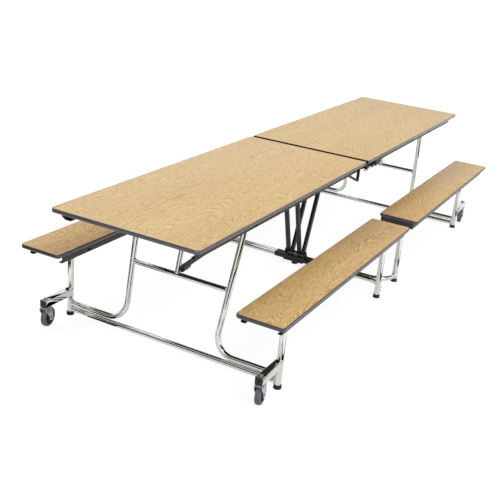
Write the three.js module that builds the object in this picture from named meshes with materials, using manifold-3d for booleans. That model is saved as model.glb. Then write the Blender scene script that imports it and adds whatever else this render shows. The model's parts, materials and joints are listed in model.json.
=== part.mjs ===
// Cafeteria folding table with attached benches: two table halves and four bench halves that fold up in the
// middle on a parallel linkage, carried by two rolling end frames and one centre frame.
// Millimetres, +Z up, origin on the floor under the middle. +X runs along the table: "near" is the -X end.
// +Y is the left side. The far half is the near half turned half round: places are given for the near half.
import * as THREE from "three";
import { mergeVertices } from "three/addons/utils/BufferGeometryUtils.js";
import Module from "manifold-3d";

const wasm = await Module();
wasm.setup();

// Overall sizes
const TABLE_LENGTH = 3658;
const TABLE_WIDTH = 762;
const TABLE_HEIGHT = 737;
const SEAM_GAP = 12; // between the two table halves
const BENCH_ROW_INSET = 169; // from the table's end to the bench row's end
const BENCH_ROW_GAP = 120; // between the two halves of a bench row
const BENCH_HEIGHT = 432;
const BENCH_WIDTH = 233;
const BENCH_OUT = 210.5; // from the table's long edge to a bench's middle line
const LEG_OUT = 8.5; // from a bench's middle line to its legs

// Boards and their moulded edges
const BOARD = 19;
const TABLE_CORNER = 25;
const BENCH_CORNER = 20;
const EDGE_WIDTH = 4;
const EDGE_ROUND = 3.5;

// Steel under the boards
const SHEET = 3;
const APRON_INSET = 39; // from the table's long edge to the apron's outer face
const APRON_DEPTH = 44;
const APRON_FLANGE = 30;
const APRON_END_INSET = 35;
const APRON_SEAM_INSET = 34;
const APRON_CHAMFER = 26;
const RAIL_INNER_INSET = 10; // from a bench's edge on the table's side to the rail
const RAIL_OUTER_INSET = 25;
const RAIL_DEPTH = 36;
const RAIL_FLANGE = 22;
const RAIL_END_INSET = 44;
const RAIL_SEAM_INSET = 12;

// Tubes and rods
const LEG_RADIUS = 15.9;
const TUBE_RADIUS = 14;
const CROSSBAR_RADIUS = 12.7;
const SHAFT_RADIUS = 8;
const BENCH_ROD_RADIUS = 5;
const STRUT_ROD_RADIUS = 6;
const HUB_PIN_RADIUS = 6;
const BRACE_PIN_RADIUS = 5;
const PIN_HEAD_RADIUS = 9;
const PIN_HEAD = 4;

// Folding pivots: every link between the end frame and the centre frame has the same length
const TABLE_PIVOT_INSET = 558; // from the table's end
const TABLE_PIVOT_DROP = 28; // below the board
const STRUT_PIVOT_X = 200;
const BENCH_PIVOT_DROP = 25;

// End frames
const END_LEG_INSET = 415; // from the table's end
const LEG_PAST_PIVOT = 12;
const BASE_TUBE_LIFT = 1; // above the foot
const UPRIGHT_TUBE_GAP = 5; // above the base tube
const UPRIGHT_APRON_GAP = 6;
const UPRIGHT_SPREAD = 36; // from where the flat run and the upright would meet to the pivot
const UPRIGHT_BEND_RADIUS = 95;
const UPRIGHT_PAST_PIVOT = 11;
const CROSSBAR_Z = 366;
const POST_Y = 15;

// Feet
const FOOT_WALL = 4.1;
const FOOT_HEIGHT = 20;
const FOOT_FLOOR = 8; // rubber under the end of the leg

// Centre frame
const CENTER_LEG_X = 150;
const CENTER_TUBE_GAP = 4; // between the two tubes
const CENTER_TUBE_LIFT = 6; // above the foot
const CENTER_BEND_RADIUS = 118;
const BENCH_ARM_DEPTH = 20;
const BENCH_ARM_THICKNESS = 6;

// Hub and struts
const HUB_WALL = 6;
const SLEEVE_HALF_LENGTH = 130;
const SLEEVE_WALL = 3;
const HUB_LUG = 6;
const HUB_LUG_GAP = 2;
const HUB_PIN_GAP = 5; // between the struts' foot and the clamp
const STRUT_DEPTH = 26;
const STRUT_WIDTH = 20;
const STRUT_FAR_SIDE_Y = 50; // the two pairs pass each other side by side
const BRACKET_PLATE = 6;
const BRACKET_LUG = 5;
const BRACKET_LUG_GAP = 4;
const BRACKET_HALF_LENGTH = 30;

// Braces
const BRACE_PIVOT_LIFT = 28; // above the crossbar
const BRACE_PIN_Z = 486; // the pin on the struts that slides in the brace's slot
const BRACE_POST_GAP = 1.3;
const BRACE_STRUT_GAP = 1;
const BRACE_WIDTH = 14;
const BRACE_DEPTH = 24;
const BRACE_HEAD_DEPTH = 34;
const BRACE_SLOT_BACK = 14; // travel of the pin from its rest place, towards the end frame
const BRACE_SLOT_AHEAD = 26;
const BRACE_SLOT_PLAY = 3;

// Lift handles
const HANDLE_APRON_GAP = 4;
const HANDLE_WIDTH = 16;
const HANDLE_BAR = 12;
const HANDLE_SEAM_X = 54;
const HANDLE_TOE_X = 70;
const HANDLE_END_X = 292;
const HANDLE_DROP = 92;

// Casters
const CASTER_REACH = 186; // from the leg to the stem
const CASTER_TRAIL = 20;
const CASTER_TURN = 10; // degrees, as the wheels stand
const ARM_SIZE = 38;
const ARM_PAST_STEM = 20;
const WHEEL_RADIUS = 50;
const WHEEL_WIDTH = 30;
const WHEEL_HUB_RADIUS = 15;
const WHEEL_RIM_RADIUS = 37;
const WHEEL_WEB_SINK = 5;
const AXLE_RADIUS = 5;
const AXLE_HEAD_RADIUS = 8;
const AXLE_HEAD = 3;
const FORK_WALL = 4;
const FORK_PLAY = 2; // between the wheel and each cheek
const FORK_ROOM = 5; // between the wheel and the crown
const FORK_CROWN_HALF = 25;
const FORK_BOSS_RADIUS = 14;
const STEM_RADIUS = 6;
const STEM_COLLAR_RADIUS = 19;
const STEM_COLLAR = 3;
const STEM_NUT_RADIUS = 10;
const STEM_NUT = 8;

// Clearances and facets
const FIT = 0.3;
const RUNNING = 0.5;
const OVERCUT = 2;
const ROUND = 12;
const WHEEL_SIDES = 16;
const BEND_STEPS = 6;
const CORNER_STEPS = 2;

// Places worked out from the sizes
const BOARD_UNDER = TABLE_HEIGHT - BOARD;
const BENCH_UNDER = BENCH_HEIGHT - BOARD;
const BENCH_ROW_LENGTH = TABLE_LENGTH - 2 * BENCH_ROW_INSET;
const BENCH_Y = TABLE_WIDTH / 2 + BENCH_OUT;
const LEG_Y = BENCH_Y + LEG_OUT;
const APRON_Y = TABLE_WIDTH / 2 - APRON_INSET;
const APRON_LOW = BOARD_UNDER - APRON_DEPTH;
const TABLE_PIVOT_X = TABLE_LENGTH / 2 - TABLE_PIVOT_INSET;
const TABLE_PIVOT_Z = BOARD_UNDER - TABLE_PIVOT_DROP;
const BENCH_PIVOT_Z = BENCH_UNDER - BENCH_PIVOT_DROP;
const END_LEG_X = TABLE_LENGTH / 2 - END_LEG_INSET;
const END_LEG_TOP = BENCH_PIVOT_Z + LEG_PAST_PIVOT;
const FOOT_RADIUS = LEG_RADIUS + FOOT_WALL;
const BASE_TUBE_Z = FOOT_HEIGHT + BASE_TUBE_LIFT + TUBE_RADIUS;
const UPRIGHT_FOOT_Z = BASE_TUBE_Z + UPRIGHT_TUBE_GAP + 2 * TUBE_RADIUS;
const UPRIGHT_TOP_Y = APRON_Y - APRON_FLANGE - UPRIGHT_APRON_GAP - TUBE_RADIUS;
const UPRIGHT_BEND_Y = UPRIGHT_TOP_Y - UPRIGHT_SPREAD;
const LEAN = (END_LEG_X - TABLE_PIVOT_X) / (TABLE_PIVOT_Z - UPRIGHT_FOOT_Z);
const SPLAY = (UPRIGHT_TOP_Y - UPRIGHT_BEND_Y) / (TABLE_PIVOT_Z - UPRIGHT_FOOT_Z);
const leanAt = (z) => -END_LEG_X + LEAN * (z - UPRIGHT_FOOT_Z);
const splayAt = (z) => UPRIGHT_BEND_Y + SPLAY * (z - UPRIGHT_FOOT_Z);
const FOLD_LINK = TABLE_PIVOT_X - STRUT_PIVOT_X;
const BENCH_INNER_PIVOT_X = END_LEG_X - FOLD_LINK;
const CENTER_TUBE_X = TUBE_RADIUS + CENTER_TUBE_GAP / 2;
const CENTER_TUBE_Z = FOOT_HEIGHT + CENTER_TUBE_LIFT + TUBE_RADIUS;
const HUB_HALF_WIDTH = CENTER_TUBE_X + TUBE_RADIUS + HUB_WALL;
const HUB_LOW = CENTER_TUBE_Z - TUBE_RADIUS - HUB_WALL;
const HUB_TOP = CENTER_TUBE_Z + TUBE_RADIUS + HUB_WALL;
const HUB_PIN_Z = HUB_TOP + HUB_PIN_GAP + STRUT_DEPTH / 2;
const HUB_LUG_Y = STRUT_FAR_SIDE_Y + STRUT_WIDTH / 2 + HUB_LUG_GAP;
const BRACE_PIVOT_Z = CROSSBAR_Z + BRACE_PIVOT_LIFT;
const BRACE_INNER_Y = POST_Y - CROSSBAR_RADIUS - BRACE_POST_GAP;
const STRUT_NEAR_SIDE_Y = BRACE_WIDTH - BRACE_INNER_Y + BRACE_STRUT_GAP + STRUT_WIDTH / 2;
const HANDLE_Y = APRON_Y + HANDLE_APRON_GAP;
const CASTER_X = END_LEG_X + CASTER_REACH;
const FORK_TOP = 2 * WHEEL_RADIUS + FORK_ROOM + FORK_WALL;
const ARM_Z = FORK_TOP + STEM_COLLAR;
const RAIL_INNER_Y = BENCH_Y - BENCH_WIDTH / 2 + RAIL_INNER_INSET;
const RAIL_OUTER_Y = BENCH_Y + BENCH_WIDTH / 2 - RAIL_OUTER_INSET;
const strutAt = (z) => (-STRUT_PIVOT_X * (z - HUB_PIN_Z)) / (TABLE_PIVOT_Z - HUB_PIN_Z);

const finish = (color, roughness, metalness) =>
  new THREE.MeshStandardMaterial({ color, roughness, metalness });
const LAMINATE = finish(0xd9b98a, 0.45, 0);
const EDGE_PLASTIC = finish(0x55505a, 0.55, 0);
const CHARCOAL = finish(0x46443f, 0.6, 0.3);
const BLACK_STEEL = finish(0x202022, 0.45, 0.3);
const CHROME = finish(0xd8d8d4, 0.15, 1);
const RUBBER = finish(0x161616, 0.8, 0);
const FORK_STEEL = finish(0xb9c4d0, 0.35, 0.7);
const TREAD = finish(0x7d7d88, 0.7, 0);

// A closed geometry as a solid that can be joined and cut
function solid(geometry) {
  const bare = geometry.clone();
  bare.deleteAttribute("normal");
  bare.deleteAttribute("uv");
  const merged = mergeVertices(bare, 1e-4);
  const vertProperties = new Float32Array(merged.attributes.position.array);
  const triVerts = new Uint32Array(merged.index.array);
  return new wasm.Manifold(new wasm.Mesh({ numProp: 3, vertProperties, triVerts }));
}

function surface(body) {
  const mesh = body.getMesh();
  const geometry = new THREE.BufferGeometry();
  geometry.setAttribute("position", new THREE.BufferAttribute(mesh.vertProperties, 3));
  geometry.setIndex(new THREE.BufferAttribute(mesh.triVerts, 1));
  geometry.computeVertexNormals();
  return geometry;
}

const join = (...bodies) => bodies.reduce((whole, body) => whole.add(body));
const cut = (body, ...tools) => tools.reduce((rest, tool) => rest.subtract(tool), body);

function piece(name, body, material) {
  const mesh = new THREE.Mesh(surface(body), material);
  mesh.name = name;
  return mesh;
}

// The same solids on both sides: the right-hand group is the left-hand one seen in a mirror
function handed(sign, ...pieces) {
  const group = new THREE.Group();
  group.scale.y = sign;
  group.add(...pieces);
  return group;
}

// The side's name as it stands once the far half is turned round
function sideName(end, sign) {
  return (end === "near") === sign > 0 ? "left" : "right";
}

// An arc of constant radius that rounds the corner of a bent tube
class Bend extends THREE.Curve {
  constructor(corner, before, after, radius) {
    super();
    this.turn = before.angleTo(after);
    const reach = radius * Math.tan(this.turn / 2);
    this.start = corner.clone().addScaledVector(before, -reach);
    this.end = corner.clone().addScaledVector(after, reach);
    const inward = after.clone().addScaledVector(before, -Math.cos(this.turn)).normalize();
    this.middle = this.start.clone().addScaledVector(inward, radius);
    this.across = inward.multiplyScalar(-radius);
    this.along = before.clone().multiplyScalar(radius);
  }
  getPoint(t, target = new THREE.Vector3()) {
    const angle = t * this.turn;
    target.copy(this.middle);
    return target.addScaledVector(this.across, Math.cos(angle)).addScaledVector(this.along, Math.sin(angle));
  }
}

// A tube's centre line through corner points: one step on each straight, a few on each bend
class TubeRoute extends THREE.Curve {
  constructor(corners, radius) {
    super();
    this.runs = [];
    let from = corners[0];
    for (let i = 1; i < corners.length - 1; i++) {
      const before = corners[i].clone().sub(corners[i - 1]).normalize();
      const after = corners[i + 1].clone().sub(corners[i]).normalize();
      const bend = new Bend(corners[i], before, after, radius);
      this.runs.push({ curve: new THREE.LineCurve3(from, bend.start), steps: 1 });
      this.runs.push({ curve: bend, steps: BEND_STEPS });
      from = bend.end;
    }
    this.runs.push({ curve: new THREE.LineCurve3(from, corners.at(-1)), steps: 1 });
    this.steps = this.runs.reduce((sum, run) => sum + run.steps, 0);
  }
  getPoint(t, target = new THREE.Vector3()) {
    let station = t * this.steps;
    let index = 0;
    while (index < this.runs.length - 1 && station > this.runs[index].steps) {
      station -= this.runs[index].steps;
      index += 1;
    }
    return this.runs[index].curve.getPoint(station / this.runs[index].steps, target);
  }
  getPointAt(u, target) {
    return this.getPoint(u, target);
  }
  getTangentAt(u, target) {
    return this.getTangent(u, target);
  }
}

const point = (x, y, z) => new THREE.Vector3(x, y, z);

function tube(radius, corners, bendRadius = 0) {
  const route = new TubeRoute(corners, bendRadius);
  const section = new THREE.Shape().absarc(0, 0, radius, 0, 2 * Math.PI);
  const options = { steps: route.steps, curveSegments: ROUND / 2, extrudePath: route };
  return solid(new THREE.ExtrudeGeometry(section, options));
}

function rodY(radius, y0, y1, x, z, sides = ROUND) {
  const rod = new THREE.CylinderGeometry(radius, radius, y1 - y0, sides);
  return solid(rod.translate(x, (y0 + y1) / 2, z));
}

function rodZ(radius, z0, z1, x, y, sides = ROUND) {
  const rod = new THREE.CylinderGeometry(radius, radius, z1 - z0, sides).rotateX(Math.PI / 2);
  return solid(rod.translate(x, y, (z0 + z1) / 2));
}

function block([x0, x1], [y0, y1], [z0, z1]) {
  const box = new THREE.BoxGeometry(x1 - x0, y1 - y0, z1 - z0);
  return solid(box.translate((x0 + x1) / 2, (y0 + y1) / 2, (z0 + z1) / 2));
}

const outline = (points) => new THREE.Shape(points.map(([x, y]) => new THREE.Vector2(x, y)));

// A shape drawn in X and Y, made solid between two heights
function slabZ(shape, z0, z1) {
  const options = { depth: z1 - z0, bevelEnabled: false, curveSegments: CORNER_STEPS };
  return solid(new THREE.ExtrudeGeometry(shape, options).translate(0, 0, z0));
}

// A shape drawn in X and Z, made solid between two Y values
function slabY(shape, y0, y1) {
  const options = { depth: y1 - y0, bevelEnabled: false, curveSegments: ROUND / 4 };
  return solid(new THREE.ExtrudeGeometry(shape, options).rotateX(Math.PI / 2).translate(0, y1, 0));
}

// A section drawn in Y and Z, made solid between two X values
function slabX(shape, x0, x1) {
  const section = new THREE.ExtrudeGeometry(shape, { depth: x1 - x0, bevelEnabled: false });
  const turn = new THREE.Matrix4().makeBasis(point(0, 1, 0), point(0, 0, 1), point(1, 0, 0));
  return solid(section.applyMatrix4(turn).translate(x0, 0, 0));
}

// A bar outline with round ends, from one pin to the other
function barOutline([x0, z0], [x1, z1], halfDepth) {
  const angle = Math.atan2(z1 - z0, x1 - x0);
  const quarter = Math.PI / 2;
  return new THREE.Shape()
    .absarc(x1, z1, halfDepth, angle - quarter, angle + quarter)
    .absarc(x0, z0, halfDepth, angle + quarter, angle + 3 * quarter);
}

// A folded channel section, open on one side: the web at y, the flanges on the given side of it
function channelOutline(y, side, low, high, flange) {
  return outline([
    [y, low],
    [y, high],
    [y + side * flange, high],
    [y + side * flange, high - SHEET],
    [y + side * SHEET, high - SHEET],
    [y + side * SHEET, low + SHEET],
    [y + side * flange, low + SHEET],
    [y + side * flange, low],
  ]);
}

function roundedRect(x0, x1, y0, y1, radius) {
  const quarter = Math.PI / 2;
  return new THREE.Shape()
    .absarc(x1 - radius, y0 + radius, radius, -quarter, 0)
    .absarc(x1 - radius, y1 - radius, radius, 0, quarter)
    .absarc(x0 + radius, y1 - radius, radius, quarter, 2 * quarter)
    .absarc(x0 + radius, y0 + radius, radius, 2 * quarter, 3 * quarter);
}

// A laminated board, and the rounded edge that is moulded round it
function edgedBoard(x0, x1, y0, y1, corner, under) {
  const core = (inset) => roundedRect(x0 + inset, x1 - inset, y0 + inset, y1 - inset, corner - inset);
  const board = slabZ(core(EDGE_WIDTH), under, under + BOARD);
  const options = {
    depth: BOARD - 2 * EDGE_ROUND,
    curveSegments: CORNER_STEPS,
    bevelThickness: EDGE_ROUND,
    bevelSize: EDGE_ROUND,
    bevelOffset: -EDGE_ROUND,
    bevelSegments: 2,
  };
  const rim = solid(new THREE.ExtrudeGeometry(core(0), options).translate(0, 0, under + EDGE_ROUND));
  const edge = cut(rim, slabZ(core(EDGE_WIDTH - FIT), under - OVERCUT, under + BOARD + OVERCUT));
  return { board, edge };
}

// Table half

function tableHalf(end) {
  const width = TABLE_WIDTH / 2;
  const length = [-TABLE_LENGTH / 2, -SEAM_GAP / 2];
  const { board, edge } = edgedBoard(...length, -width, width, TABLE_CORNER, BOARD_UNDER);
  const group = new THREE.Group();
  group.add(piece(`${end}_table_board`, board, LAMINATE));
  group.add(piece(`${end}_table_edge`, edge, EDGE_PLASTIC));
  for (const sign of [1, -1]) {
    group.add(handed(sign, piece(`${end}_apron_${sideName(end, sign)}`, apron(), CHARCOAL)));
  }
  group.add(piece(`${end}_strut_bracket`, strutBracket(), BLACK_STEEL));
  group.add(piece(`${end}_lift_handle`, liftHandle(), BLACK_STEEL));
  return group;
}

// The channel under a long edge, with its outer end cut back and a hole for the pivot shaft
function apron() {
  const x0 = -TABLE_LENGTH / 2 + APRON_END_INSET;
  const x1 = -SEAM_GAP / 2 - APRON_SEAM_INSET;
  const nose = outline([
    [x0 - OVERCUT, APRON_LOW - OVERCUT],
    [x0 + APRON_CHAMFER, APRON_LOW - OVERCUT],
    [x0 - OVERCUT, APRON_LOW + APRON_CHAMFER],
  ]);
  const inner = APRON_Y - APRON_FLANGE - OVERCUT;
  const outer = APRON_Y + OVERCUT;
  return cut(
    slabX(channelOutline(APRON_Y, -1, APRON_LOW, BOARD_UNDER, APRON_FLANGE), x0, x1),
    slabY(nose, inner, outer),
    rodY(SHAFT_RADIUS + RUNNING, inner, outer, -TABLE_PIVOT_X, TABLE_PIVOT_Z),
  );
}

// A plate under the board, with a lug on each side of the struts that holds their rod
function strutBracket() {
  const [y0, y1] = strutLugs();
  const half = STRUT_DEPTH / 2;
  const lug = new THREE.Shape()
    .moveTo(-STRUT_PIVOT_X - BRACKET_HALF_LENGTH, BOARD_UNDER)
    .lineTo(-STRUT_PIVOT_X - half, TABLE_PIVOT_Z)
    .absarc(-STRUT_PIVOT_X, TABLE_PIVOT_Z, half, Math.PI, 2 * Math.PI)
    .lineTo(-STRUT_PIVOT_X + BRACKET_HALF_LENGTH, BOARD_UNDER);
  const along = [-STRUT_PIVOT_X - BRACKET_HALF_LENGTH, -STRUT_PIVOT_X + BRACKET_HALF_LENGTH];
  const body = join(
    block(along, [y0 - BRACKET_LUG, y1 + BRACKET_LUG], [BOARD_UNDER - BRACKET_PLATE, BOARD_UNDER]),
    slabY(lug, y0 - BRACKET_LUG, y0),
    slabY(lug, y1, y1 + BRACKET_LUG),
  );
  const through = [y0 - 2 * BRACKET_LUG, y1 + 2 * BRACKET_LUG];
  const bore = rodY(STRUT_ROD_RADIUS + RUNNING, ...through, -STRUT_PIVOT_X, TABLE_PIVOT_Z);
  return cut(body, bore);
}

// The inner faces of the bracket's two lugs
function strutLugs() {
  const beyond = STRUT_WIDTH / 2 + BRACKET_LUG_GAP;
  return [-STRUT_NEAR_SIDE_Y - beyond, STRUT_FAR_SIDE_Y + beyond];
}

// A flat bar bent to a triangle under the board, on the outside of the apron, to lift the middle by
function liftHandle() {
  const toe = BOARD_UNDER - HANDLE_DROP;
  const body = outline([
    [-HANDLE_END_X, BOARD_UNDER],
    [-HANDLE_TOE_X, toe],
    [-HANDLE_SEAM_X, toe],
    [-HANDLE_SEAM_X, BOARD_UNDER],
  ]);
  const slope = HANDLE_DROP / (HANDLE_END_X - HANDLE_TOE_X);
  const rise = HANDLE_BAR * Math.hypot(1, slope);
  const diagonalAt = (x) => BOARD_UNDER - (x + HANDLE_END_X) * slope + rise;
  const gripTop = BOARD_UNDER - HANDLE_BAR;
  const gripEnd = -HANDLE_END_X + (HANDLE_BAR + rise) / slope;
  const gripSeam = -HANDLE_SEAM_X - HANDLE_BAR;
  const grip = outline([
    [gripEnd, gripTop],
    [gripSeam, diagonalAt(gripSeam)],
    [gripSeam, gripTop],
  ]);
  return cut(
    slabY(body, -HANDLE_Y - HANDLE_WIDTH, -HANDLE_Y),
    slabY(grip, -HANDLE_Y - HANDLE_WIDTH - OVERCUT, -HANDLE_Y + OVERCUT),
  );
}

// Bench half, on the left

function bench(end, sign) {
  const side = sideName(end, sign);
  const x0 = -BENCH_ROW_LENGTH / 2;
  const x1 = -BENCH_ROW_GAP / 2;
  const half = BENCH_WIDTH / 2;
  const { board, edge } = edgedBoard(x0, x1, BENCH_Y - half, BENCH_Y + half, BENCH_CORNER, BENCH_UNDER);
  return handed(
    sign,
    piece(`${end}_bench_board_${side}`, board, LAMINATE),
    piece(`${end}_bench_edge_${side}`, edge, EDGE_PLASTIC),
    piece(`${end}_bench_frame_${side}`, benchFrame(x0 + RAIL_END_INSET, x1 - RAIL_SEAM_INSET), CHARCOAL),
  );
}

// Two channel rails, a cross channel at the seam end, and the two rods that the bench turns on
function benchFrame(x0, x1) {
  const low = BENCH_UNDER - RAIL_DEPTH;
  const rail = (y, side) => slabX(channelOutline(y, side, low, BENCH_UNDER, RAIL_FLANGE), x0, x1);
  const across = [RAIL_INNER_Y + SHEET / 2, RAIL_OUTER_Y - SHEET / 2];
  const rod = (x) => rodY(BENCH_ROD_RADIUS, ...across, x, BENCH_PIVOT_Z);
  return join(
    rail(RAIL_INNER_Y, 1),
    rail(RAIL_OUTER_Y, -1),
    block([x1 - SHEET, x1], across, [low, BENCH_UNDER]),
    block([x1 - RAIL_FLANGE, x1], across, [BENCH_UNDER - SHEET, BENCH_UNDER]),
    rod(-END_LEG_X),
    rod(-BENCH_INNER_PIVOT_X),
  );
}

// End frame

const legSpace = (y) => rodZ(LEG_RADIUS + FIT, 0, BENCH_HEIGHT, -END_LEG_X, y);

function endFrame(end) {
  const base = rodY(TUBE_RADIUS, -LEG_Y, LEG_Y, -END_LEG_X, BASE_TUBE_Z);
  const group = new THREE.Group();
  group.add(piece(`${end}_base_tube`, cut(base, legSpace(LEG_Y), legSpace(-LEG_Y)), CHROME));
  group.add(piece(`${end}_crossbar`, crossbar(), CHROME));
  for (const sign of [1, -1]) {
    const side = sideName(end, sign);
    const shaft = rodY(SHAFT_RADIUS + FIT, 0, LEG_Y, -TABLE_PIVOT_X, TABLE_PIVOT_Z);
    group.add(
      handed(
        sign,
        piece(`${end}_upright_${side}`, cut(upright(TUBE_RADIUS), legSpace(LEG_Y), shaft), CHROME),
        piece(`${end}_leg_${side}`, endLeg(), CHROME),
        piece(`${end}_foot_${side}`, foot(-END_LEG_X), RUBBER),
      ),
    );
  }
  return group;
}

// A tube that runs in from the leg, bends up and leans towards the middle of the table
function upright(radius) {
  const top = TABLE_PIVOT_Z + UPRIGHT_PAST_PIVOT;
  const corners = [
    point(-END_LEG_X, LEG_Y, UPRIGHT_FOOT_Z),
    point(-END_LEG_X, UPRIGHT_BEND_Y, UPRIGHT_FOOT_Z),
    point(leanAt(top), splayAt(top), top),
  ];
  return tube(radius, corners, UPRIGHT_BEND_RADIUS);
}

// The bar between the uprights, a post from it to the pivot shaft, and the brace's pin on the post
function crossbar() {
  const reach = splayAt(CROSSBAR_Z);
  const bar = rodY(CROSSBAR_RADIUS, -reach, reach, leanAt(CROSSBAR_Z), CROSSBAR_Z);
  const left = upright(TUBE_RADIUS + FIT);
  const post = [
    point(leanAt(CROSSBAR_Z), POST_Y, CROSSBAR_Z),
    point(-TABLE_PIVOT_X, POST_Y, TABLE_PIVOT_Z),
  ];
  const shaftEnd = APRON_Y + PIN_HEAD;
  const pinEnd = BRACE_INNER_Y - BRACE_WIDTH - RUNNING;
  const pinX = leanAt(BRACE_PIVOT_Z);
  return join(
    cut(bar, left, left.mirror([0, 1, 0])),
    tube(CROSSBAR_RADIUS, post),
    rodY(SHAFT_RADIUS, -shaftEnd, shaftEnd, -TABLE_PIVOT_X, TABLE_PIVOT_Z),
    rodY(BRACE_PIN_RADIUS, pinEnd - PIN_HEAD / 2, POST_Y, pinX, BRACE_PIVOT_Z),
    rodY(PIN_HEAD_RADIUS, pinEnd - PIN_HEAD, pinEnd, pinX, BRACE_PIVOT_Z, 6),
  );
}

// A bench leg with the square arm that carries a caster outside it
function endLeg() {
  const half = ARM_SIZE / 2;
  const body = join(
    rodZ(LEG_RADIUS, FOOT_FLOOR, END_LEG_TOP, -END_LEG_X, LEG_Y),
    block([-CASTER_X - ARM_PAST_STEM, -END_LEG_X], [LEG_Y - half, LEG_Y + half], [ARM_Z, ARM_Z + ARM_SIZE]),
  );
  return cut(
    body,
    rodY(BENCH_ROD_RADIUS + RUNNING, LEG_Y - ARM_SIZE, LEG_Y + ARM_SIZE, -END_LEG_X, BENCH_PIVOT_Z),
    rodZ(STEM_RADIUS + RUNNING, ARM_Z - OVERCUT, ARM_Z + ARM_SIZE + OVERCUT, -CASTER_X, LEG_Y),
  );
}

// A rubber cup on the end of a leg
function foot(x) {
  const bore = LEG_RADIUS + FIT;
  const profile = [
    [0, 0],
    [FOOT_RADIUS - 2, 0],
    [FOOT_RADIUS, 3],
    [FOOT_RADIUS, FOOT_HEIGHT - 5],
    [FOOT_RADIUS - 1, FOOT_HEIGHT],
    [bore, FOOT_HEIGHT],
    [bore, FOOT_FLOOR],
    [0, FOOT_FLOOR],
  ].map(([r, z]) => new THREE.Vector2(r, z));
  return solid(new THREE.LatheGeometry(profile, ROUND).rotateX(Math.PI / 2).translate(x, LEG_Y, 0));
}

// Caster, in its own frame: the stem's axis at the origin, the wheel trailing along +X

function caster(end, sign) {
  const side = sideName(end, sign);
  const group = new THREE.Group();
  group.position.set(-CASTER_X, sign * LEG_Y, 0);
  group.rotation.z = THREE.MathUtils.degToRad(CASTER_TURN);
  group.add(piece(`${end}_caster_fork_${side}`, casterFork(), FORK_STEEL));
  group.add(piece(`${end}_caster_wheel_${side}`, casterWheel(), TREAD));
  return group;
}

// A hood with two cheeks, the axle between them, and the stem and nut that hold it in the arm
function casterFork() {
  const slot = WHEEL_WIDTH / 2 + FORK_PLAY;
  const half = slot + FORK_WALL;
  const armTop = ARM_Z + ARM_SIZE;
  const bossEnd = Math.PI / 6;
  const cheek = new THREE.Shape()
    .moveTo(-FORK_CROWN_HALF, FORK_TOP)
    .lineTo(-FORK_CROWN_HALF, FORK_TOP - FORK_BOSS_RADIUS)
    .quadraticCurveTo(-FORK_CROWN_HALF / 2, WHEEL_RADIUS, CASTER_TRAIL - FORK_BOSS_RADIUS, WHEEL_RADIUS)
    .absarc(CASTER_TRAIL, WHEEL_RADIUS, FORK_BOSS_RADIUS, Math.PI, 2 * Math.PI + bossEnd)
    .quadraticCurveTo(CASTER_TRAIL + FORK_CROWN_HALF, FORK_TOP - FORK_BOSS_RADIUS, FORK_CROWN_HALF, FORK_TOP);
  const axle = (radius, y0, y1, sides) => rodY(radius, y0, y1, CASTER_TRAIL, WHEEL_RADIUS, sides);
  const room = [-2 * WHEEL_RADIUS, 2 * WHEEL_RADIUS];
  return join(
    cut(slabY(cheek, -half, half), block(room, [-slot, slot], [0, FORK_TOP - FORK_WALL])),
    axle(AXLE_RADIUS, -half, half, ROUND),
    axle(AXLE_HEAD_RADIUS, half - FORK_WALL / 2, half + AXLE_HEAD, 6),
    axle(AXLE_HEAD_RADIUS, -half - AXLE_HEAD, -half + FORK_WALL / 2, 6),
    rodZ(STEM_COLLAR_RADIUS, FORK_TOP - FORK_WALL / 2, ARM_Z - FIT, 0, 0),
    rodZ(STEM_RADIUS, FORK_TOP - FORK_WALL / 2, armTop + STEM_NUT + OVERCUT, 0, 0),
    rodZ(STEM_NUT_RADIUS, armTop + FIT, armTop + FIT + STEM_NUT, 0, 0, 6),
  );
}

function casterWheel() {
  const half = WHEEL_WIDTH / 2;
  const web = half - WHEEL_WEB_SINK;
  const bore = AXLE_RADIUS + RUNNING;
  const face = [
    [WHEEL_RADIUS, half / 3],
    [WHEEL_RADIUS - 3, half - 1],
    [WHEEL_RIM_RADIUS, half - 1],
    [WHEEL_RIM_RADIUS - 2, web],
    [WHEEL_HUB_RADIUS + 2, web],
    [WHEEL_HUB_RADIUS, half],
    [bore, half],
  ];
  const back = face.map(([r, w]) => [r, -w]).reverse();
  const profile = [...back, ...face, back[0]].map(([r, w]) => new THREE.Vector2(r, w));
  return solid(new THREE.LatheGeometry(profile, WHEEL_SIDES).translate(CASTER_TRAIL, 0, WHEEL_RADIUS));
}

// Half of the centre frame: a tube that swings in from two legs to the middle, and the arms that carry the
// benches' inner rods

function centerFrame(end) {
  const leg = centerLeg();
  const body = join(centerTube(TUBE_RADIUS), leg, leg.mirror([0, 1, 0]));
  const group = new THREE.Group();
  group.add(piece(`${end}_center_frame`, body, CHROME));
  for (const sign of [1, -1]) {
    const name = `${end}_center_foot_${sideName(end, sign)}`;
    group.add(handed(sign, piece(name, foot(-CENTER_LEG_X), RUBBER)));
  }
  group.add(piece(`${end}_strut_pair`, strutPair(), BLACK_STEEL));
  return group;
}

function centerTube(radius) {
  const corners = [
    point(-CENTER_LEG_X, -LEG_Y, CENTER_TUBE_Z),
    point(-CENTER_TUBE_X, -LEG_Y, CENTER_TUBE_Z),
    point(-CENTER_TUBE_X, LEG_Y, CENTER_TUBE_Z),
    point(-CENTER_LEG_X, LEG_Y, CENTER_TUBE_Z),
  ];
  return tube(radius, corners, CENTER_BEND_RADIUS);
}

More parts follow.
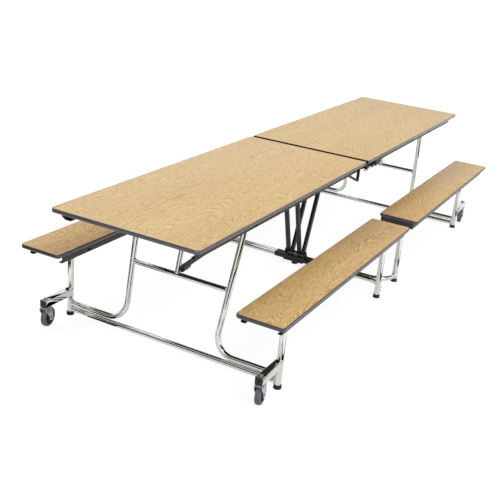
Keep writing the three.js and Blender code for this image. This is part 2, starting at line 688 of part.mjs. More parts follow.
function centerLeg() {
  const half = BENCH_ARM_THICKNESS / 2;
  const pivot = [-BENCH_INNER_PIVOT_X, BENCH_PIVOT_Z];
  const arm = barOutline([-CENTER_LEG_X, BENCH_PIVOT_Z], pivot, BENCH_ARM_DEPTH / 2);
  const body = join(
    rodZ(LEG_RADIUS, FOOT_FLOOR, BENCH_UNDER - FIT, -CENTER_LEG_X, LEG_Y),
    slabY(arm, LEG_Y - half, LEG_Y + half),
  );
  const bore = rodY(BENCH_ROD_RADIUS + RUNNING, LEG_Y - ARM_SIZE, LEG_Y + ARM_SIZE, ...pivot);
  return cut(body, bore);
}

// Two struts from the hub's pin to one table half, with the rod at their top and the brace's pin between them
function strutPair() {
  const places = [-STRUT_NEAR_SIDE_Y, STRUT_FAR_SIDE_Y];
  const half = STRUT_WIDTH / 2;
  const bar = barOutline([0, HUB_PIN_Z], [-STRUT_PIVOT_X, TABLE_PIVOT_Z], STRUT_DEPTH / 2);
  const [y0, y1] = strutLugs();
  const beyond = BRACKET_LUG + OVERCUT;
  const body = join(
    rodY(STRUT_ROD_RADIUS, y0 - beyond, y1 + beyond, -STRUT_PIVOT_X, TABLE_PIVOT_Z),
    rodY(BRACE_PIN_RADIUS, ...places, strutAt(BRACE_PIN_Z), BRACE_PIN_Z),
    ...places.map((y) => slabY(bar, y - half, y + half)),
  );
  return cut(body, rodY(HUB_PIN_RADIUS + FIT, -SLEEVE_HALF_LENGTH, SLEEVE_HALF_LENGTH, 0, HUB_PIN_Z));
}

// The clamp and sleeves on both centre tubes, with the lugs and pin that hold the foot of the struts
function hub() {
  const lug = new THREE.Shape()
    .moveTo(-HUB_HALF_WIDTH / 2, HUB_TOP - OVERCUT)
    .lineTo(HUB_HALF_WIDTH / 2, HUB_TOP - OVERCUT)
    .absarc(0, HUB_PIN_Z, 2 * HUB_PIN_RADIUS, 0, Math.PI);
  const bore = centerTube(TUBE_RADIUS + FIT);
  const lugEnd = HUB_LUG_Y + HUB_LUG;
  const ends = [-SLEEVE_HALF_LENGTH, SLEEVE_HALF_LENGTH];
  const sleeve = (x) => rodY(TUBE_RADIUS + SLEEVE_WALL, ...ends, x, CENTER_TUBE_Z);
  const clamp = join(
    block([-HUB_HALF_WIDTH, HUB_HALF_WIDTH], [-lugEnd, lugEnd], [HUB_LOW, HUB_TOP]),
    sleeve(-CENTER_TUBE_X),
    sleeve(CENTER_TUBE_X),
  );
  return join(
    cut(clamp, bore, bore.mirror([1, 0, 0])),
    slabY(lug, -lugEnd, -HUB_LUG_Y),
    slabY(lug, HUB_LUG_Y, lugEnd),
    rodY(HUB_PIN_RADIUS, -lugEnd - PIN_HEAD, lugEnd + PIN_HEAD, 0, HUB_PIN_Z),
  );
}

// Brace: a channel from the post to the struts, slotted where the struts' pin slides in it

function brace(end) {
  const run = strutAt(BRACE_PIN_Z) - leanAt(BRACE_PIVOT_Z);
  const rise = BRACE_PIN_Z - BRACE_PIVOT_Z;
  const length = Math.hypot(run, rise);
  const along = (s, lift = 0) => [
    leanAt(BRACE_PIVOT_Z) + (run * s - rise * lift) / length,
    BRACE_PIVOT_Z + (rise * s + run * lift) / length,
  ];
  const outer = BRACE_INNER_Y - BRACE_WIDTH;
  const head = [along(length - BRACE_SLOT_BACK), along(length + BRACE_SLOT_AHEAD)];
  const hollowHalf = BRACE_DEPTH / 2;
  const hollow = barOutline(
    along(2 * BRACE_DEPTH, -SHEET),
    along(length - BRACE_SLOT_BACK - 2 * BRACE_DEPTH, -SHEET),
    hollowHalf,
  );
  const body = cut(
    join(
      slabY(barOutline(along(0), along(length), BRACE_DEPTH / 2), outer, BRACE_INNER_Y),
      slabY(barOutline(...head, BRACE_HEAD_DEPTH / 2), outer, BRACE_INNER_Y),
    ),
    slabY(hollow, outer + SHEET, BRACE_INNER_Y - SHEET),
    slabY(barOutline(...head, BRACE_PIN_RADIUS + BRACE_SLOT_PLAY), outer - OVERCUT, BRACE_INNER_Y + OVERCUT),
    rodY(BRACE_PIN_RADIUS + RUNNING, outer - OVERCUT, BRACE_INNER_Y + OVERCUT, ...along(0)),
  );
  return piece(`${end}_brace`, body, CHARCOAL);
}

function half(end) {
  const group = new THREE.Group();
  group.rotation.z = end === "near" ? 0 : Math.PI;
  group.add(tableHalf(end), endFrame(end), centerFrame(end), brace(end));
  for (const sign of [1, -1]) {
    group.add(bench(end, sign), caster(end, sign));
  }
  return group;
}

const table = new THREE.Group();
table.add(half("near"), half("far"));
table.add(piece("hub", hub(), BLACK_STEEL));
table.add(piece("hub_foot", rodZ(FOOT_RADIUS, 0, HUB_LOW - FIT, 0, 0), RUBBER));

export default table;
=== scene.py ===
"""Looks of a folding cafeteria table with benches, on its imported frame.

Metres, +Z up, +X along the table. Shapes are made for the near left and placed from there.
"""
import json
import math

import bmesh
import bpy
from mathutils import Matrix, Vector


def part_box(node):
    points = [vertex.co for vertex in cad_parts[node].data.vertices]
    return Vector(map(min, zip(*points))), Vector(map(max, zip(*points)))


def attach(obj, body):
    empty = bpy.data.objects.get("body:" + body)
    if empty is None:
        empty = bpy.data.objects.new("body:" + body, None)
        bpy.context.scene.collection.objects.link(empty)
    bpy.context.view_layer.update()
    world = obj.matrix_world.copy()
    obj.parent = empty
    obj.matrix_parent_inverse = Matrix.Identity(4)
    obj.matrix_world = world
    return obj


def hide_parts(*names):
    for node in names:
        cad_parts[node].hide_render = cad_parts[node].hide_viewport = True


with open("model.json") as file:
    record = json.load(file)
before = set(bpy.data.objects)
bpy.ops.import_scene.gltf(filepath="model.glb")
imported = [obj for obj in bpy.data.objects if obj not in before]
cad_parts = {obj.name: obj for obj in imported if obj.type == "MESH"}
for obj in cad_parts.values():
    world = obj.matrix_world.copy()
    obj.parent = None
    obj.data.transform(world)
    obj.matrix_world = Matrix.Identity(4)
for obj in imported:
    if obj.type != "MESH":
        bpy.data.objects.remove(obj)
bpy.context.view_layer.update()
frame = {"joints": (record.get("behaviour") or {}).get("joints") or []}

MM = 0.001
PIVOT = {joint["name"]: Vector(joint["pos_m"]) for joint in frame["joints"]}
ENDS = ("near", "far")
SIDE_SIGNS = (1, -1)

# Tubes, rods and sheet
LEG_RADIUS = 15.9 * MM
TUBE_RADIUS = 14 * MM
CROSSBAR_RADIUS = 12.7 * MM
SHAFT_RADIUS = 8 * MM
ROD_RADIUS = 5 * MM
STRUT_ROD_RADIUS = 6 * MM
LEG_RIM = 1.2 * MM
UPRIGHT_BEND = 95 * MM
CENTER_BEND = 118 * MM
SHEET = 3 * MM
FOLD_RADIUS = 2.8 * MM
APRON_CHAMFER = 24 * MM
# Where the screws sit on a flange, as a part of its width
SCREW_LINE = 0.62
WELD = 2.6 * MM
# A tube that is welded to another ends inside it, at this part of the other's radius
WELD_REACH = 0.8

# Boards and their edges
TABLE_CORNER = 25 * MM
BENCH_CORNER = 20 * MM
EDGE_WIDTH = 4 * MM
EDGE_FIT = 0.3 * MM
EDGE_BULGE = 2.6 * MM
# Width of the strip of painted shade on the table boards' tops beside the seam
SEAM_SHADE_STRIP = 8 * MM
FINE_RIM = 0.4 * MM

# Fineness of round shapes
TUBE_SIDES = 40
BEND_STEPS = 18
WELD_SIDES = 10
WELD_STEPS = 36
CORNER_STEPS = 10
BULGE_CUTS = 7
SMALL_STEPS = 20


def side_name(end, sign):
    """The side of a shape made for the near left: the far half is the near half turned half round."""
    return "left" if (end == "near") == (sign > 0) else "right"


# Mesh building

def only(kind, geometry):
    """The elements of one kind among what a mesh operator gives back."""
    return [g for g in geometry if isinstance(g, kind)]


def everything(bm):
    return bm.verts[:] + bm.edges[:] + bm.faces[:]


def z_turned_to(axis):
    """The turn that brings Z to an axis."""
    return Vector(axis).to_track_quat("Z", "Y").to_matrix().to_4x4()


def rounded(bm, edges, offset, segments=3):
    if edges and offset > 0:
        bmesh.ops.bevel(
            bm, geom=edges, offset=offset, segments=segments, profile=0.5, affect="EDGES", material=-1,
            clamp_overlap=True,
        )


def rim_edges(bm, angle=math.radians(50)):
    """The edges where two faces meet at a clear corner."""
    bm.normal_update()
    return [e for e in bm.edges if len(e.link_faces) == 2 and e.calc_face_angle() > angle]


def rod(radius, start, end, sides=TUBE_SIDES, rim=0.0):
    """A round bar between two points."""
    start, end = Vector(start), Vector(end)
    bm = bmesh.new()
    bmesh.ops.create_cone(
        bm, cap_ends=True, segments=sides, radius1=radius, radius2=radius, depth=(end - start).length,
        matrix=Matrix.Translation((start + end) / 2) @ z_turned_to(end - start),
    )
    rounded(bm, [e for e in rim_edges(bm) if any(len(f.verts) > 4 for f in e.link_faces)], rim)
    return bm


def block(low, high, rim=0.0, segments=3):
    """A box between two corners, with its edges rounded."""
    low, high = Vector(low), Vector(high)
    matrix = Matrix.Translation((low + high) / 2) @ Matrix.Diagonal((*(high - low), 1))
    bm = bmesh.new()
    bmesh.ops.create_cube(bm, size=1, matrix=matrix)
    rounded(bm, bm.edges[:], rim, segments)
    return bm


def tube(radius, corners, bend):
    """A tube through corner points, bent at each inner one: straights are extruded and bends are spun."""
    corners = [Vector(c) for c in corners]
    bm = bmesh.new()
    matrix = Matrix.Translation(corners[0]) @ z_turned_to((corners[1] - corners[0]).normalized())
    bmesh.ops.create_circle(bm, segments=TUBE_SIDES, radius=radius, matrix=matrix)
    ring = bm.edges[:]
    caps = [ring]
    here = corners[0]
    for index in range(1, len(corners)):
        ahead = (corners[index] - corners[index - 1]).normalized()
        stop = corners[index].copy()
        turn = 0.0
        if index < len(corners) - 1:
            after = (corners[index + 1] - corners[index]).normalized()
            turn = ahead.angle(after)
            stop -= ahead * bend * math.tan(turn / 2)
        made = bmesh.ops.extrude_edge_only(bm, edges=ring)["geom"]
        bmesh.ops.translate(bm, verts=only(bmesh.types.BMVert, made), vec=stop - here)
        ring = [e for e in only(bmesh.types.BMEdge, made) if e.is_boundary]
        here = stop
        if turn:
            inward = (after - ahead * math.cos(turn)).normalized()
            ends = set(v for e in ring for v in e.verts)
            made = bmesh.ops.spin(
                bm, geom=ring + list(ends), cent=stop + inward * bend, axis=ahead.cross(after), angle=turn,
                steps=BEND_STEPS,
            )["geom_last"]
            ring = only(bmesh.types.BMEdge, made)
            here = corners[index] + after * bend * math.tan(turn / 2)
    caps.append(ring)
    for loop in caps:
        bmesh.ops.edgeloop_fill(bm, edges=loop)
    bmesh.ops.recalc_face_normals(bm, faces=bm.faces)
    return bm


def spun(bm, steps, matrix):
    """Spins a profile full round Z, closes it and places it."""
    bmesh.ops.spin(
        bm, geom=bm.verts[:] + bm.edges[:], axis=(0, 0, 1), angle=math.tau, steps=steps, use_merge=True,
    )
    bmesh.ops.remove_doubles(bm, verts=bm.verts, dist=1e-6)
    bmesh.ops.recalc_face_normals(bm, faces=bm.faces)
    bmesh.ops.transform(bm, matrix=matrix, verts=bm.verts)
    return bm


def weld(radius, place, axis):
    """A low bead of weld round a tube."""
    bm = bmesh.new()
    upright = Matrix.Rotation(math.pi / 2, 4, "X")
    bmesh.ops.create_circle(bm, segments=WELD_SIDES, radius=WELD, matrix=upright)
    bmesh.ops.translate(bm, verts=bm.verts, vec=(radius, 0, 0))
    return spun(bm, WELD_STEPS, Matrix.Translation(place) @ z_turned_to(axis))


def lathe(profile, matrix, steps):
    """A profile of (radius, height) points spun round Z, closed if it starts off the axis, then placed."""
    bm = bmesh.new()
    points = [bm.verts.new((r, 0, h)) for r, h in profile]
    for pair in zip(points, points[1:]):
        bm.edges.new(pair)
    if profile[0][0] > 0:
        bm.edges.new((points[-1], points[0]))
    return spun(bm, steps, matrix)


def face_outline(bm, points):
    return bm.faces.new([bm.verts.new(p) for p in points])


def rounded_face(bm, points, radius, segments=8):
    """A flat face through the points, with its corners rounded."""
    face = face_outline(bm, points)
    bmesh.ops.bevel(
        bm, geom=face.verts[:], offset=radius, segments=segments, profile=0.5, affect="VERTICES",
        material=-1,
    )


def thicken(bm, vector):
    """Extrudes every face of a flat outline to a closed solid."""
    made = bmesh.ops.extrude_face_region(bm, geom=everything(bm), use_keep_orig=True)["geom"]
    bmesh.ops.translate(bm, verts=only(bmesh.types.BMVert, made), vec=vector)
    bmesh.ops.recalc_face_normals(bm, faces=bm.faces)


def open_middle(bm, width):
    """Leaves a frame of the given width round a flat face."""
    middle = bm.faces[:]
    bmesh.ops.inset_region(bm, faces=middle, thickness=width, use_even_offset=True, use_boundary=True)
    bmesh.ops.delete(bm, geom=middle, context="FACES")


def bar(start, end, half_depth, y0, y1, rim, slot=None):
    """A flat bar with round ends between two points of the XZ plane, from y0 to y1, slotted if asked."""
    start, end = Vector((start[0], 0, start[1])), Vector((end[0], 0, end[1]))
    along = (end - start).normalized() * half_depth
    across = Vector((-along.z, 0, along.x))
    points = [
        start - along - across, end + along - across, end + along + across, start - along + across,
    ]
    just_under_half = 0.999
    bm = bmesh.new()
    rounded_face(bm, points, half_depth * just_under_half)
    if slot:
        open_middle(bm, half_depth - slot)
    bmesh.ops.translate(bm, verts=bm.verts, vec=(0, y0, 0))
    thicken(bm, (0, y1 - y0, 0))
    rounded(bm, rim_edges(bm), rim, 2)
    return bm


def plate(points, y0, y1, corner, rim):
    """A flat plate from points of the XZ plane, from y0 to y1."""
    bm = bmesh.new()
    outline = [(x, y0, z) for x, z in points]
    if corner:
        rounded_face(bm, outline, corner, 6)
    else:
        face_outline(bm, outline)
    thicken(bm, (0, y1 - y0, 0))
    rounded(bm, rim_edges(bm), rim, 2)
    return bm


def channel(y, side, low, high, flange, x0, x1, nose=0.0):
    """A folded channel along X: the web at y, with flanges on one side of it.

    With a nose, the lower corner of the end at x0 is cut back by that much.
    """
    tip, inner = y + side * flange, y + side * SHEET
    section = [
        (y, low), (y, high), (tip, high), (tip, high - SHEET),
        (inner, high - SHEET), (inner, low + SHEET), (tip, low + SHEET), (tip, low),
    ]
    bm = bmesh.new()
    face_outline(bm, [(x0, sy, sz) for sy, sz in section])
    thicken(bm, (x1 - x0, 0, 0))
    folds = [
        e for e in bm.edges
        if abs(e.verts[0].co.x - e.verts[1].co.x) > SHEET and abs(e.verts[0].co.y - y) < MM / 10
    ]
    rounded(bm, folds, FOLD_RADIUS, 4)
    if nose:
        cut = bmesh.ops.bisect_plane(
            bm, geom=everything(bm), plane_co=(x0 + nose, 0, low), plane_no=(-1, 0, -1), clear_outer=True,
        )["geom_cut"]
        bmesh.ops.holes_fill(bm, edges=only(bmesh.types.BMEdge, cut))
        bmesh.ops.recalc_face_normals(bm, faces=bm.faces)
    return bm


def screw_head(place, axis, radius, height=2.6 * MM):
    """A domed screw head with a washer under it, standing on the place along the axis."""
    washer = radius * 1.45
    profile = [
        (0, 0), (washer, 0), (washer, height * 0.3), (radius, height * 0.35),
        (radius * 0.92, height * 0.75), (radius * 0.6, height), (0, height * 1.08),
    ]
    return lathe(profile, Matrix.Translation(place) @ z_turned_to(axis), SMALL_STEPS)


def hex_nut(place, axis, radius, height, stud=0.0):
    """A six-sided nut with a washer, and the end of its bolt if asked."""
    place, axis = Vector(place), Vector(axis)
    seat = place + axis * height * 0.2
    parts = [
        rod(radius * 1.35, place, seat, 28, 0.3 * MM),
        rod(radius, seat, place + axis * height, 6, 0.8 * MM),
    ]
    if stud:
        parts.append(rod(radius * 0.55, place, place + axis * (height + stud), SMALL_STEPS, 0.7 * MM))
    return join(*parts)


def join(*shapes):
    """Several shapes as one bmesh, with the material indexes they have."""
    whole = bmesh.new()
    for shape in shapes:
        mesh = bpy.data.meshes.new("shape")
        shape.to_mesh(mesh)
        whole.from_mesh(mesh)
        bpy.data.meshes.remove(mesh)
        shape.free()
    return whole


def painted(bm, index):
    for face in bm.faces:
        face.material_index = index
    return bm


def piece(name, bm, materials, body, end="near", sign=1, nodes=(), sharp=35):
    """Places a shape that was made for the near left, and makes it an object that rides on its body."""
    half_turn = Matrix.Rotation(0 if end == "near" else math.pi, 4, "Z")
    bmesh.ops.transform(bm, matrix=half_turn @ Matrix.Diagonal((1, sign, 1, 1)), verts=bm.verts)
    if sign < 0:
        bmesh.ops.reverse_faces(bm, faces=bm.faces)
    bm.normal_update()
    for face in bm.faces:
        face.smooth = True
    for edge in bm.edges:
        edge.smooth = len(edge.link_faces) == 2 and edge.calc_face_angle() < math.radians(sharp)
    obj = mesh_object(name, bm, materials)
    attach(obj, body)
    if nodes:
        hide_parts(*nodes)


def mesh_object(name, bm, materials):
    mesh = bpy.data.meshes.new(name)
    bm.to_mesh(mesh)
    bm.free()
    for material in materials:
        mesh.materials.append(material)
    obj = bpy.data.objects.new(name, mesh)
    bpy.context.scene.collection.objects.link(obj)
    return obj


# Materials

# The colour sockets of a mix node, whose names other sockets share
COLOR_A, COLOR_B, COLOR_OUT = 6, 7, 2


def tint(code):
    """An sRGB hex colour as linear values."""
    values = [int(code[i:i + 2], 16) / 255 for i in (1, 3, 5)]
    return (*[v / 12.92 if v <= 0.04045 else ((v + 0.055) / 1.055) ** 2.4 for v in values], 1)


def add_node(tree, kind, inputs=None, **settings):
    """Adds one node: settings are its properties, and an input is a value or the socket that feeds it."""
    node = tree.nodes.new(kind)
    for key, value in settings.items():
        setattr(node, key, value)
    for key, value in (inputs or {}).items():
        if isinstance(value, bpy.types.NodeSocket):
            tree.links.new(value, node.inputs[key])
        else:
            node.inputs[key].default_value = value
    return node


def new_material(name):
    """An empty finish: the material and its shader."""
    material = bpy.data.materials.new(name)
    material.use_nodes = True
    return material, material.node_tree.nodes["Principled BSDF"]


def per_size(*sizes):
    """The scale at which a pattern's cells have the given sizes in metres along X, Y and Z."""
    return tuple(1 / size for size in sizes)


def oak_laminate(name, pale, dark, rings):
    """High-pressure laminate with a printed flat-sawn oak, pressed with a satin plate.

    Slow noise along the board is cut into growth rings, each dark at its start, which gives the long
    cathedrals and loops of the grain. The pores are drawn about 2 mm wide and the flecks 3 mm wide,
    several times too coarse, so that they show.
    """
    material, shader = new_material(name)
    tree = material.node_tree
    where = add_node(tree, "ShaderNodeTexCoord").outputs["Object"]
    noise = {}
    for key, size, settings in (
        ("figure", (0.8, 0.085, 0.1), {"Detail": 2, "Roughness": 0.4, "Distortion": 0.3}),
        ("pores", (0.05, 0.0022, 0.02), {"Detail": 3, "Roughness": 0.6, "Distortion": 0.2}),
        ("flecks", (0.022, 0.003, 0.02), {"Detail": 1, "Distortion": 0.4}),
        ("drift", (0.9, 0.12, 0.3), {"Detail": 2}),
    ):
        place = add_node(tree, "ShaderNodeMapping", {"Vector": where, "Scale": per_size(*size)})
        noise[key] = add_node(
            tree, "ShaderNodeTexNoise", {"Vector": place.outputs[0], "Scale": 1, **settings},
        ).outputs["Fac"]
    growth = add_node(tree, "ShaderNodeMath", {0: noise["figure"], 1: rings}, operation="MULTIPLY")
    ring = add_node(tree, "ShaderNodeMath", {0: growth.outputs[0]}, operation="FRACT")
    late_wood = add_node(tree, "ShaderNodeMapRange", {"Value": ring.outputs[0], "From Max": 0.5})
    fleck_tone = add_node(
        tree, "ShaderNodeMapRange",
        {"Value": noise["flecks"], "From Min": 0.57, "From Max": 0.68, "To Max": -0.22},
    )
    tone = add_node(
        tree, "ShaderNodeMath", {0: late_wood.outputs[0], 1: 0.36, 2: noise["pores"]},
        operation="MULTIPLY_ADD",
    )
    tone = add_node(
        tree, "ShaderNodeMath", {0: noise["drift"], 1: 0.25, 2: tone.outputs[0]}, operation="MULTIPLY_ADD",
    )
    tone = add_node(tree, "ShaderNodeMath", {0: tone.outputs[0], 1: fleck_tone.outputs[0]}, operation="ADD")
    print_tone = add_node(
        tree, "ShaderNodeMapRange", {"Value": tone.outputs[0], "From Min": 0.63, "From Max": 1.0},
    )
    color = add_node(
        tree, "ShaderNodeMix", {"Factor": print_tone.outputs[0], COLOR_A: tint(dark), COLOR_B: tint(pale)},
        data_type="RGBA",
    )
    tree.links.new(color.outputs[COLOR_OUT], shader.inputs["Base Color"])
    satin = add_node(tree, "ShaderNodeMapRange", {"Value": noise["pores"], "To Min": 0.5, "To Max": 0.38})
    tree.links.new(satin.outputs[0], shader.inputs["Roughness"])
    relief = add_node(
        tree, "ShaderNodeBump", {"Height": noise["pores"], "Strength": 0.1, "Distance": 0.15 * MM},
    )
    tree.links.new(relief.outputs[0], shader.inputs["Normal"])
    return material


def mottled_finish(name, dark, light, patch, skin, relief, roughness, sockets=None):
    """A finish that drifts between two tones in patches of one size, glossier where it is lighter.

    A fine skin of another size is raised on it. Sockets are further values of the shader.
    """
    material, shader = new_material(name)
    tree = material.node_tree
    where = add_node(tree, "ShaderNodeTexCoord").outputs["Object"]
    noise = {}
    for key, size, detail in (("cloud", patch, 4), ("grain", (skin, skin, skin), 2)):
        place = add_node(tree, "ShaderNodeMapping", {"Vector": where, "Scale": per_size(*size)})
        noise[key] = add_node(
            tree, "ShaderNodeTexNoise", {"Vector": place.outputs[0], "Scale": 1, "Detail": detail},
        ).outputs["Fac"]
    spread = add_node(
        tree, "ShaderNodeMapRange", {"Value": noise["cloud"], "From Min": 0.3, "From Max": 0.7},
    )
    color = add_node(
        tree, "ShaderNodeMix", {"Factor": spread.outputs[0], COLOR_A: tint(dark), COLOR_B: tint(light)},
        data_type="RGBA",
    )
    tree.links.new(color.outputs[COLOR_OUT], shader.inputs["Base Color"])
    smooth, rough = roughness
    gloss = add_node(
        tree, "ShaderNodeMapRange", {"Value": spread.outputs[0], "To Min": rough, "To Max": smooth},
    )
    tree.links.new(gloss.outputs[0], shader.inputs["Roughness"])
    raised = add_node(
        tree, "ShaderNodeBump", {"Height": noise["grain"], "Strength": relief, "Distance": 0.2 * MM},
    )
    tree.links.new(raised.outputs[0], shader.inputs["Normal"])
    for socket, value in (sockets or {}).items():
        shader.inputs[socket].default_value = value
    return material


METAL = {"Metallic": 1}
MOULDED_SKIN = {"Specular IOR Level": 1.0, "Coat Roughness": 0.12}

# Honey-coloured oak print: broad pale cathedrals on the table, closer and browner rings on the benches
TABLE_OAK = oak_laminate("table_oak_laminate", "#e7c992", "#c49b5e", 38)
BENCH_OAK = oak_laminate("bench_oak_laminate", "#ebc687", "#b48443", 56)
# Sanded phenolic backing sheet: dull brown with a faint cloud of resin
BACKING = mottled_finish(
    "phenolic_backer", "#3f3229", "#53453a", (0.06, 0.04, 0.04), 3 * MM, 0.1, (0.6, 0.75),
)
# Urethane moulded round the table: slate grey with a clear gloss and a fine leather-like skin
EDGE = mottled_finish(
    "moulded_urethane_edge", "#56515a", "#66606a", (0.2, 0.2, 0.05), 4 * MM, 0.12, (0.24, 0.36),
    {**MOULDED_SKIN, "Coat Weight": 0.6},
)
# The benches' edge: the same urethane, painted darker for the shade and dark reflections on the benches'
# edges, and less glossy
SHADED_BENCH_EDGE = mottled_finish(
    "bench_urethane_painted_shade", "#37333a", "#45414a", (0.2, 0.2, 0.05), 4 * MM, 0.12, (0.24, 0.36),
    {**MOULDED_SKIN, "Coat Weight": 0.3},
)
# The table's edge at the seam: nearly black and dull, painted shade of the narrow dark gap between the
# halves
SEAM_SHADE_EDGE = mottled_finish(
    "seam_painted_shade", "#141113", "#1f1b1d", (0.05, 0.05, 0.05), 2 * MM, 0.1, (0.7, 0.9),
    {"Specular IOR Level": 0.12},
)
# Bright chrome plate on buffed tube: a mirror that gives back about three quarters of the light
CHROME = mottled_finish(
    "chrome_plate", "#dbdbd7", "#e5e5e1", (0.05, 0.05, 0.03), 12 * MM, 0.02, (0.05, 0.1), METAL,
)
# Powder coat on folded sheet: warm charcoal with an orange-peel skin
CHARCOAL = mottled_finish(
    "charcoal_coat", "#3b3935", "#494641", (0.12, 0.05, 0.05), 2.5 * MM, 0.18, (0.38, 0.5),
)
# Powder coat on the linkage: near black, a little glossier
BLACK = mottled_finish(
    "black_coat", "#161618", "#222225", (0.08, 0.05, 0.08), 2.5 * MM, 0.18, (0.32, 0.44),
)
# Moulded black rubber: dull, with greyer scuffs
RUBBER = mottled_finish(
    "rubber", "#131313", "#282828", (0.012, 0.012, 0.006), 1.5 * MM, 0.15, (0.66, 0.8),
)
# Non-marking grey tread, turned true and a little dusty
TREAD = mottled_finish(
    "grey_tread", "#6f6f77", "#86868e", (0.015, 0.015, 0.015), 2 * MM, 0.12, (0.5, 0.65),
)
# Moulded nylon of the wheel's core and of the caps: black, smooth
NYLON = mottled_finish(
    "black_nylon", "#141415", "#202022", (0.02, 0.02, 0.02), 1.5 * MM, 0.06, (0.4, 0.52),
)
# Zinc plate on the pressed fork: pale bluish metal with a soft cloudy grain
ZINC = mottled_finish(
    "zinc_plate", "#b2bac5", "#d0d6de", (0.012, 0.012, 0.012), 2 * MM, 0.05, (0.28, 0.42), METAL,
)
# Zinc plate on the caster's nuts and race: yellower, with turning marks too fine to show
FASTENER = mottled_finish(
    "bright_zinc", "#a3a39f", "#c4c4bf", (0.006, 0.006, 0.006), 1 * MM, 0.05, (0.22, 0.35), METAL,
)
# Black oxide on screws, nuts and the pins' heads: dark metal with an oily gloss
OXIDE = mottled_finish(
    "black_oxide", "#26262a", "#37373b", (0.006, 0.006, 0.006), 1 * MM, 0.05, (0.3, 0.45), METAL,
)


# Boards and edges

def under_side(low, high):
    """The corners of a box's under side, in order round it."""
    return [(low.x, low.y, low.z), (high.x, low.y, low.z), (high.x, high.y, low.z), (low.x, high.y, low.z)]


def board(node, oak, corner, body, seam_shade_strip=0.0):
    """A laminated board with a backing sheet under it and, if asked, a strip along its seam end painted
    nearly black as shade of the gap between the halves.
    """
    low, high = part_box(node)
    to_seam = math.copysign(1, -(low.x + high.x))
    seam = high.x if to_seam > 0 else low.x
    bm = bmesh.new()
    rounded_face(bm, under_side(low, high), corner - EDGE_WIDTH, CORNER_STEPS)
    thicken(bm, (0, 0, high.z - low.z))
    rounded(bm, [e for e in rim_edges(bm) if e.verts[0].co.z > high.z - MM], FINE_RIM, 2)
    if seam_shade_strip:
        bmesh.ops.bisect_plane(
            bm, geom=everything(bm), plane_no=(1, 0, 0), plane_co=(seam - to_seam * seam_shade_strip, 0, 0),
        )
    bm.normal_update()
    # Under faces take the backing, and faces within the strip at the seam end are painted nearly black as
    # shade of the gap.
    for face in bm.faces:
        if face.normal.z < -0.9:
            face.material_index = 1
        elif abs(face.calc_center_median().x - seam) < seam_shade_strip:
            face.material_index = 2
    piece(f"shown_{node}", bm, [oak, BACKING, SEAM_SHADE_EDGE], body, nodes=[node])


def moulded_edge(node, urethane, seam_side_shade, corner, body):
    """The moulded edge: a frame round the board with a rounded outer side, and its own colour on the side
    at the seam, which on the table is painted shade of the gap.
    """
    low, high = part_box(node)
    bm = bmesh.new()
    rounded_face(bm, under_side(low, high), corner, CORNER_STEPS)
    open_middle(bm, EDGE_WIDTH - EDGE_FIT)
    thicken(bm, (0, 0, high.z - low.z))
    middle = Vector((low.x + high.x, low.y + high.y, 0)) / 2
    reach = Vector((high.x - low.x, high.y - low.y, 0)) / 2

    def outward(vert):
        """The way out of the ring at a point of its outer side, and None at its inner side."""
        offset = vert.co - middle
        past = Vector((abs(offset.x) - reach.x + corner, abs(offset.y) - reach.y + corner, 0))
        if min(past.x, past.y) <= 0:
            past = Vector((past.x > past.y, past.y >= past.x, 0)) * max(past.x, past.y)
        if past.length < corner - EDGE_WIDTH / 2:
            return None
        return Vector((math.copysign(past.x, offset.x), math.copysign(past.y, offset.y), 0)).normalized()

    wall = [e for e in bm.edges if outward(e.verts[0]) and abs(e.verts[0].co.z - e.verts[1].co.z) > MM]
    bmesh.ops.subdivide_edges(bm, edges=wall, cuts=BULGE_CUTS, use_grid_fill=True)
    half_height = (high.z - low.z) / 2
    for vert in bm.verts:
        way = outward(vert)
        if way:
            vert.co -= way * EDGE_BULGE * ((vert.co.z - low.z) / half_height - 1) ** 2
    rounded(bm, rim_edges(bm), FINE_RIM, 2)
    bm.normal_update()
    to_seam = math.copysign(1, -middle.x)
    # The faces that face the seam, and the top rim beside it, take the seam colour: on the table that is
    # painted shade of the gap.
    for face in bm.faces:
        from_seam = reach.x - to_seam * (face.calc_center_median().x - middle.x)
        seam_shaded = face.normal.z > 0.5 and from_seam < EDGE_WIDTH
        face.material_index = 1 if seam_shaded or to_seam * face.normal.x > 0.5 else 0
    piece(f"shown_{node}", bm, [urethane, seam_side_shade], body, nodes=[node], sharp=50)


for half in ENDS:
    top = f"{half}_table"
    board(f"{half}_table_board", TABLE_OAK, TABLE_CORNER, top, SEAM_SHADE_STRIP)
    moulded_edge(f"{half}_table_edge", EDGE, SEAM_SHADE_EDGE, TABLE_CORNER, top)
    for hand in ("left", "right"):
        seat = f"{half}_bench_{hand}"
        board(f"{half}_bench_board_{hand}", BENCH_OAK, BENCH_CORNER, seat)
        moulded_edge(f"{half}_bench_edge_{hand}", SHADED_BENCH_EDGE, SHADED_BENCH_EDGE, BENCH_CORNER, seat)


# Places on the near left, from the frame

TABLE_PIVOT = PIVOT["fold"]
STRUT_PIVOT = PIVOT["center_fold"]
BENCH_PIVOT = PIVOT["near_bench_left_fold"]
BRACE_PIVOT = PIVOT["near_brace_fold"]
STEM = PIVOT["near_swivel_left"]
AXLE = PIVOT["near_wheel_left_spin"]
END_X = BENCH_PIVOT.x
LEG_Y = BENCH_PIVOT.y
INNER_ROD_X = BENCH_PIVOT.x + STRUT_PIVOT.x - TABLE_PIVOT.x

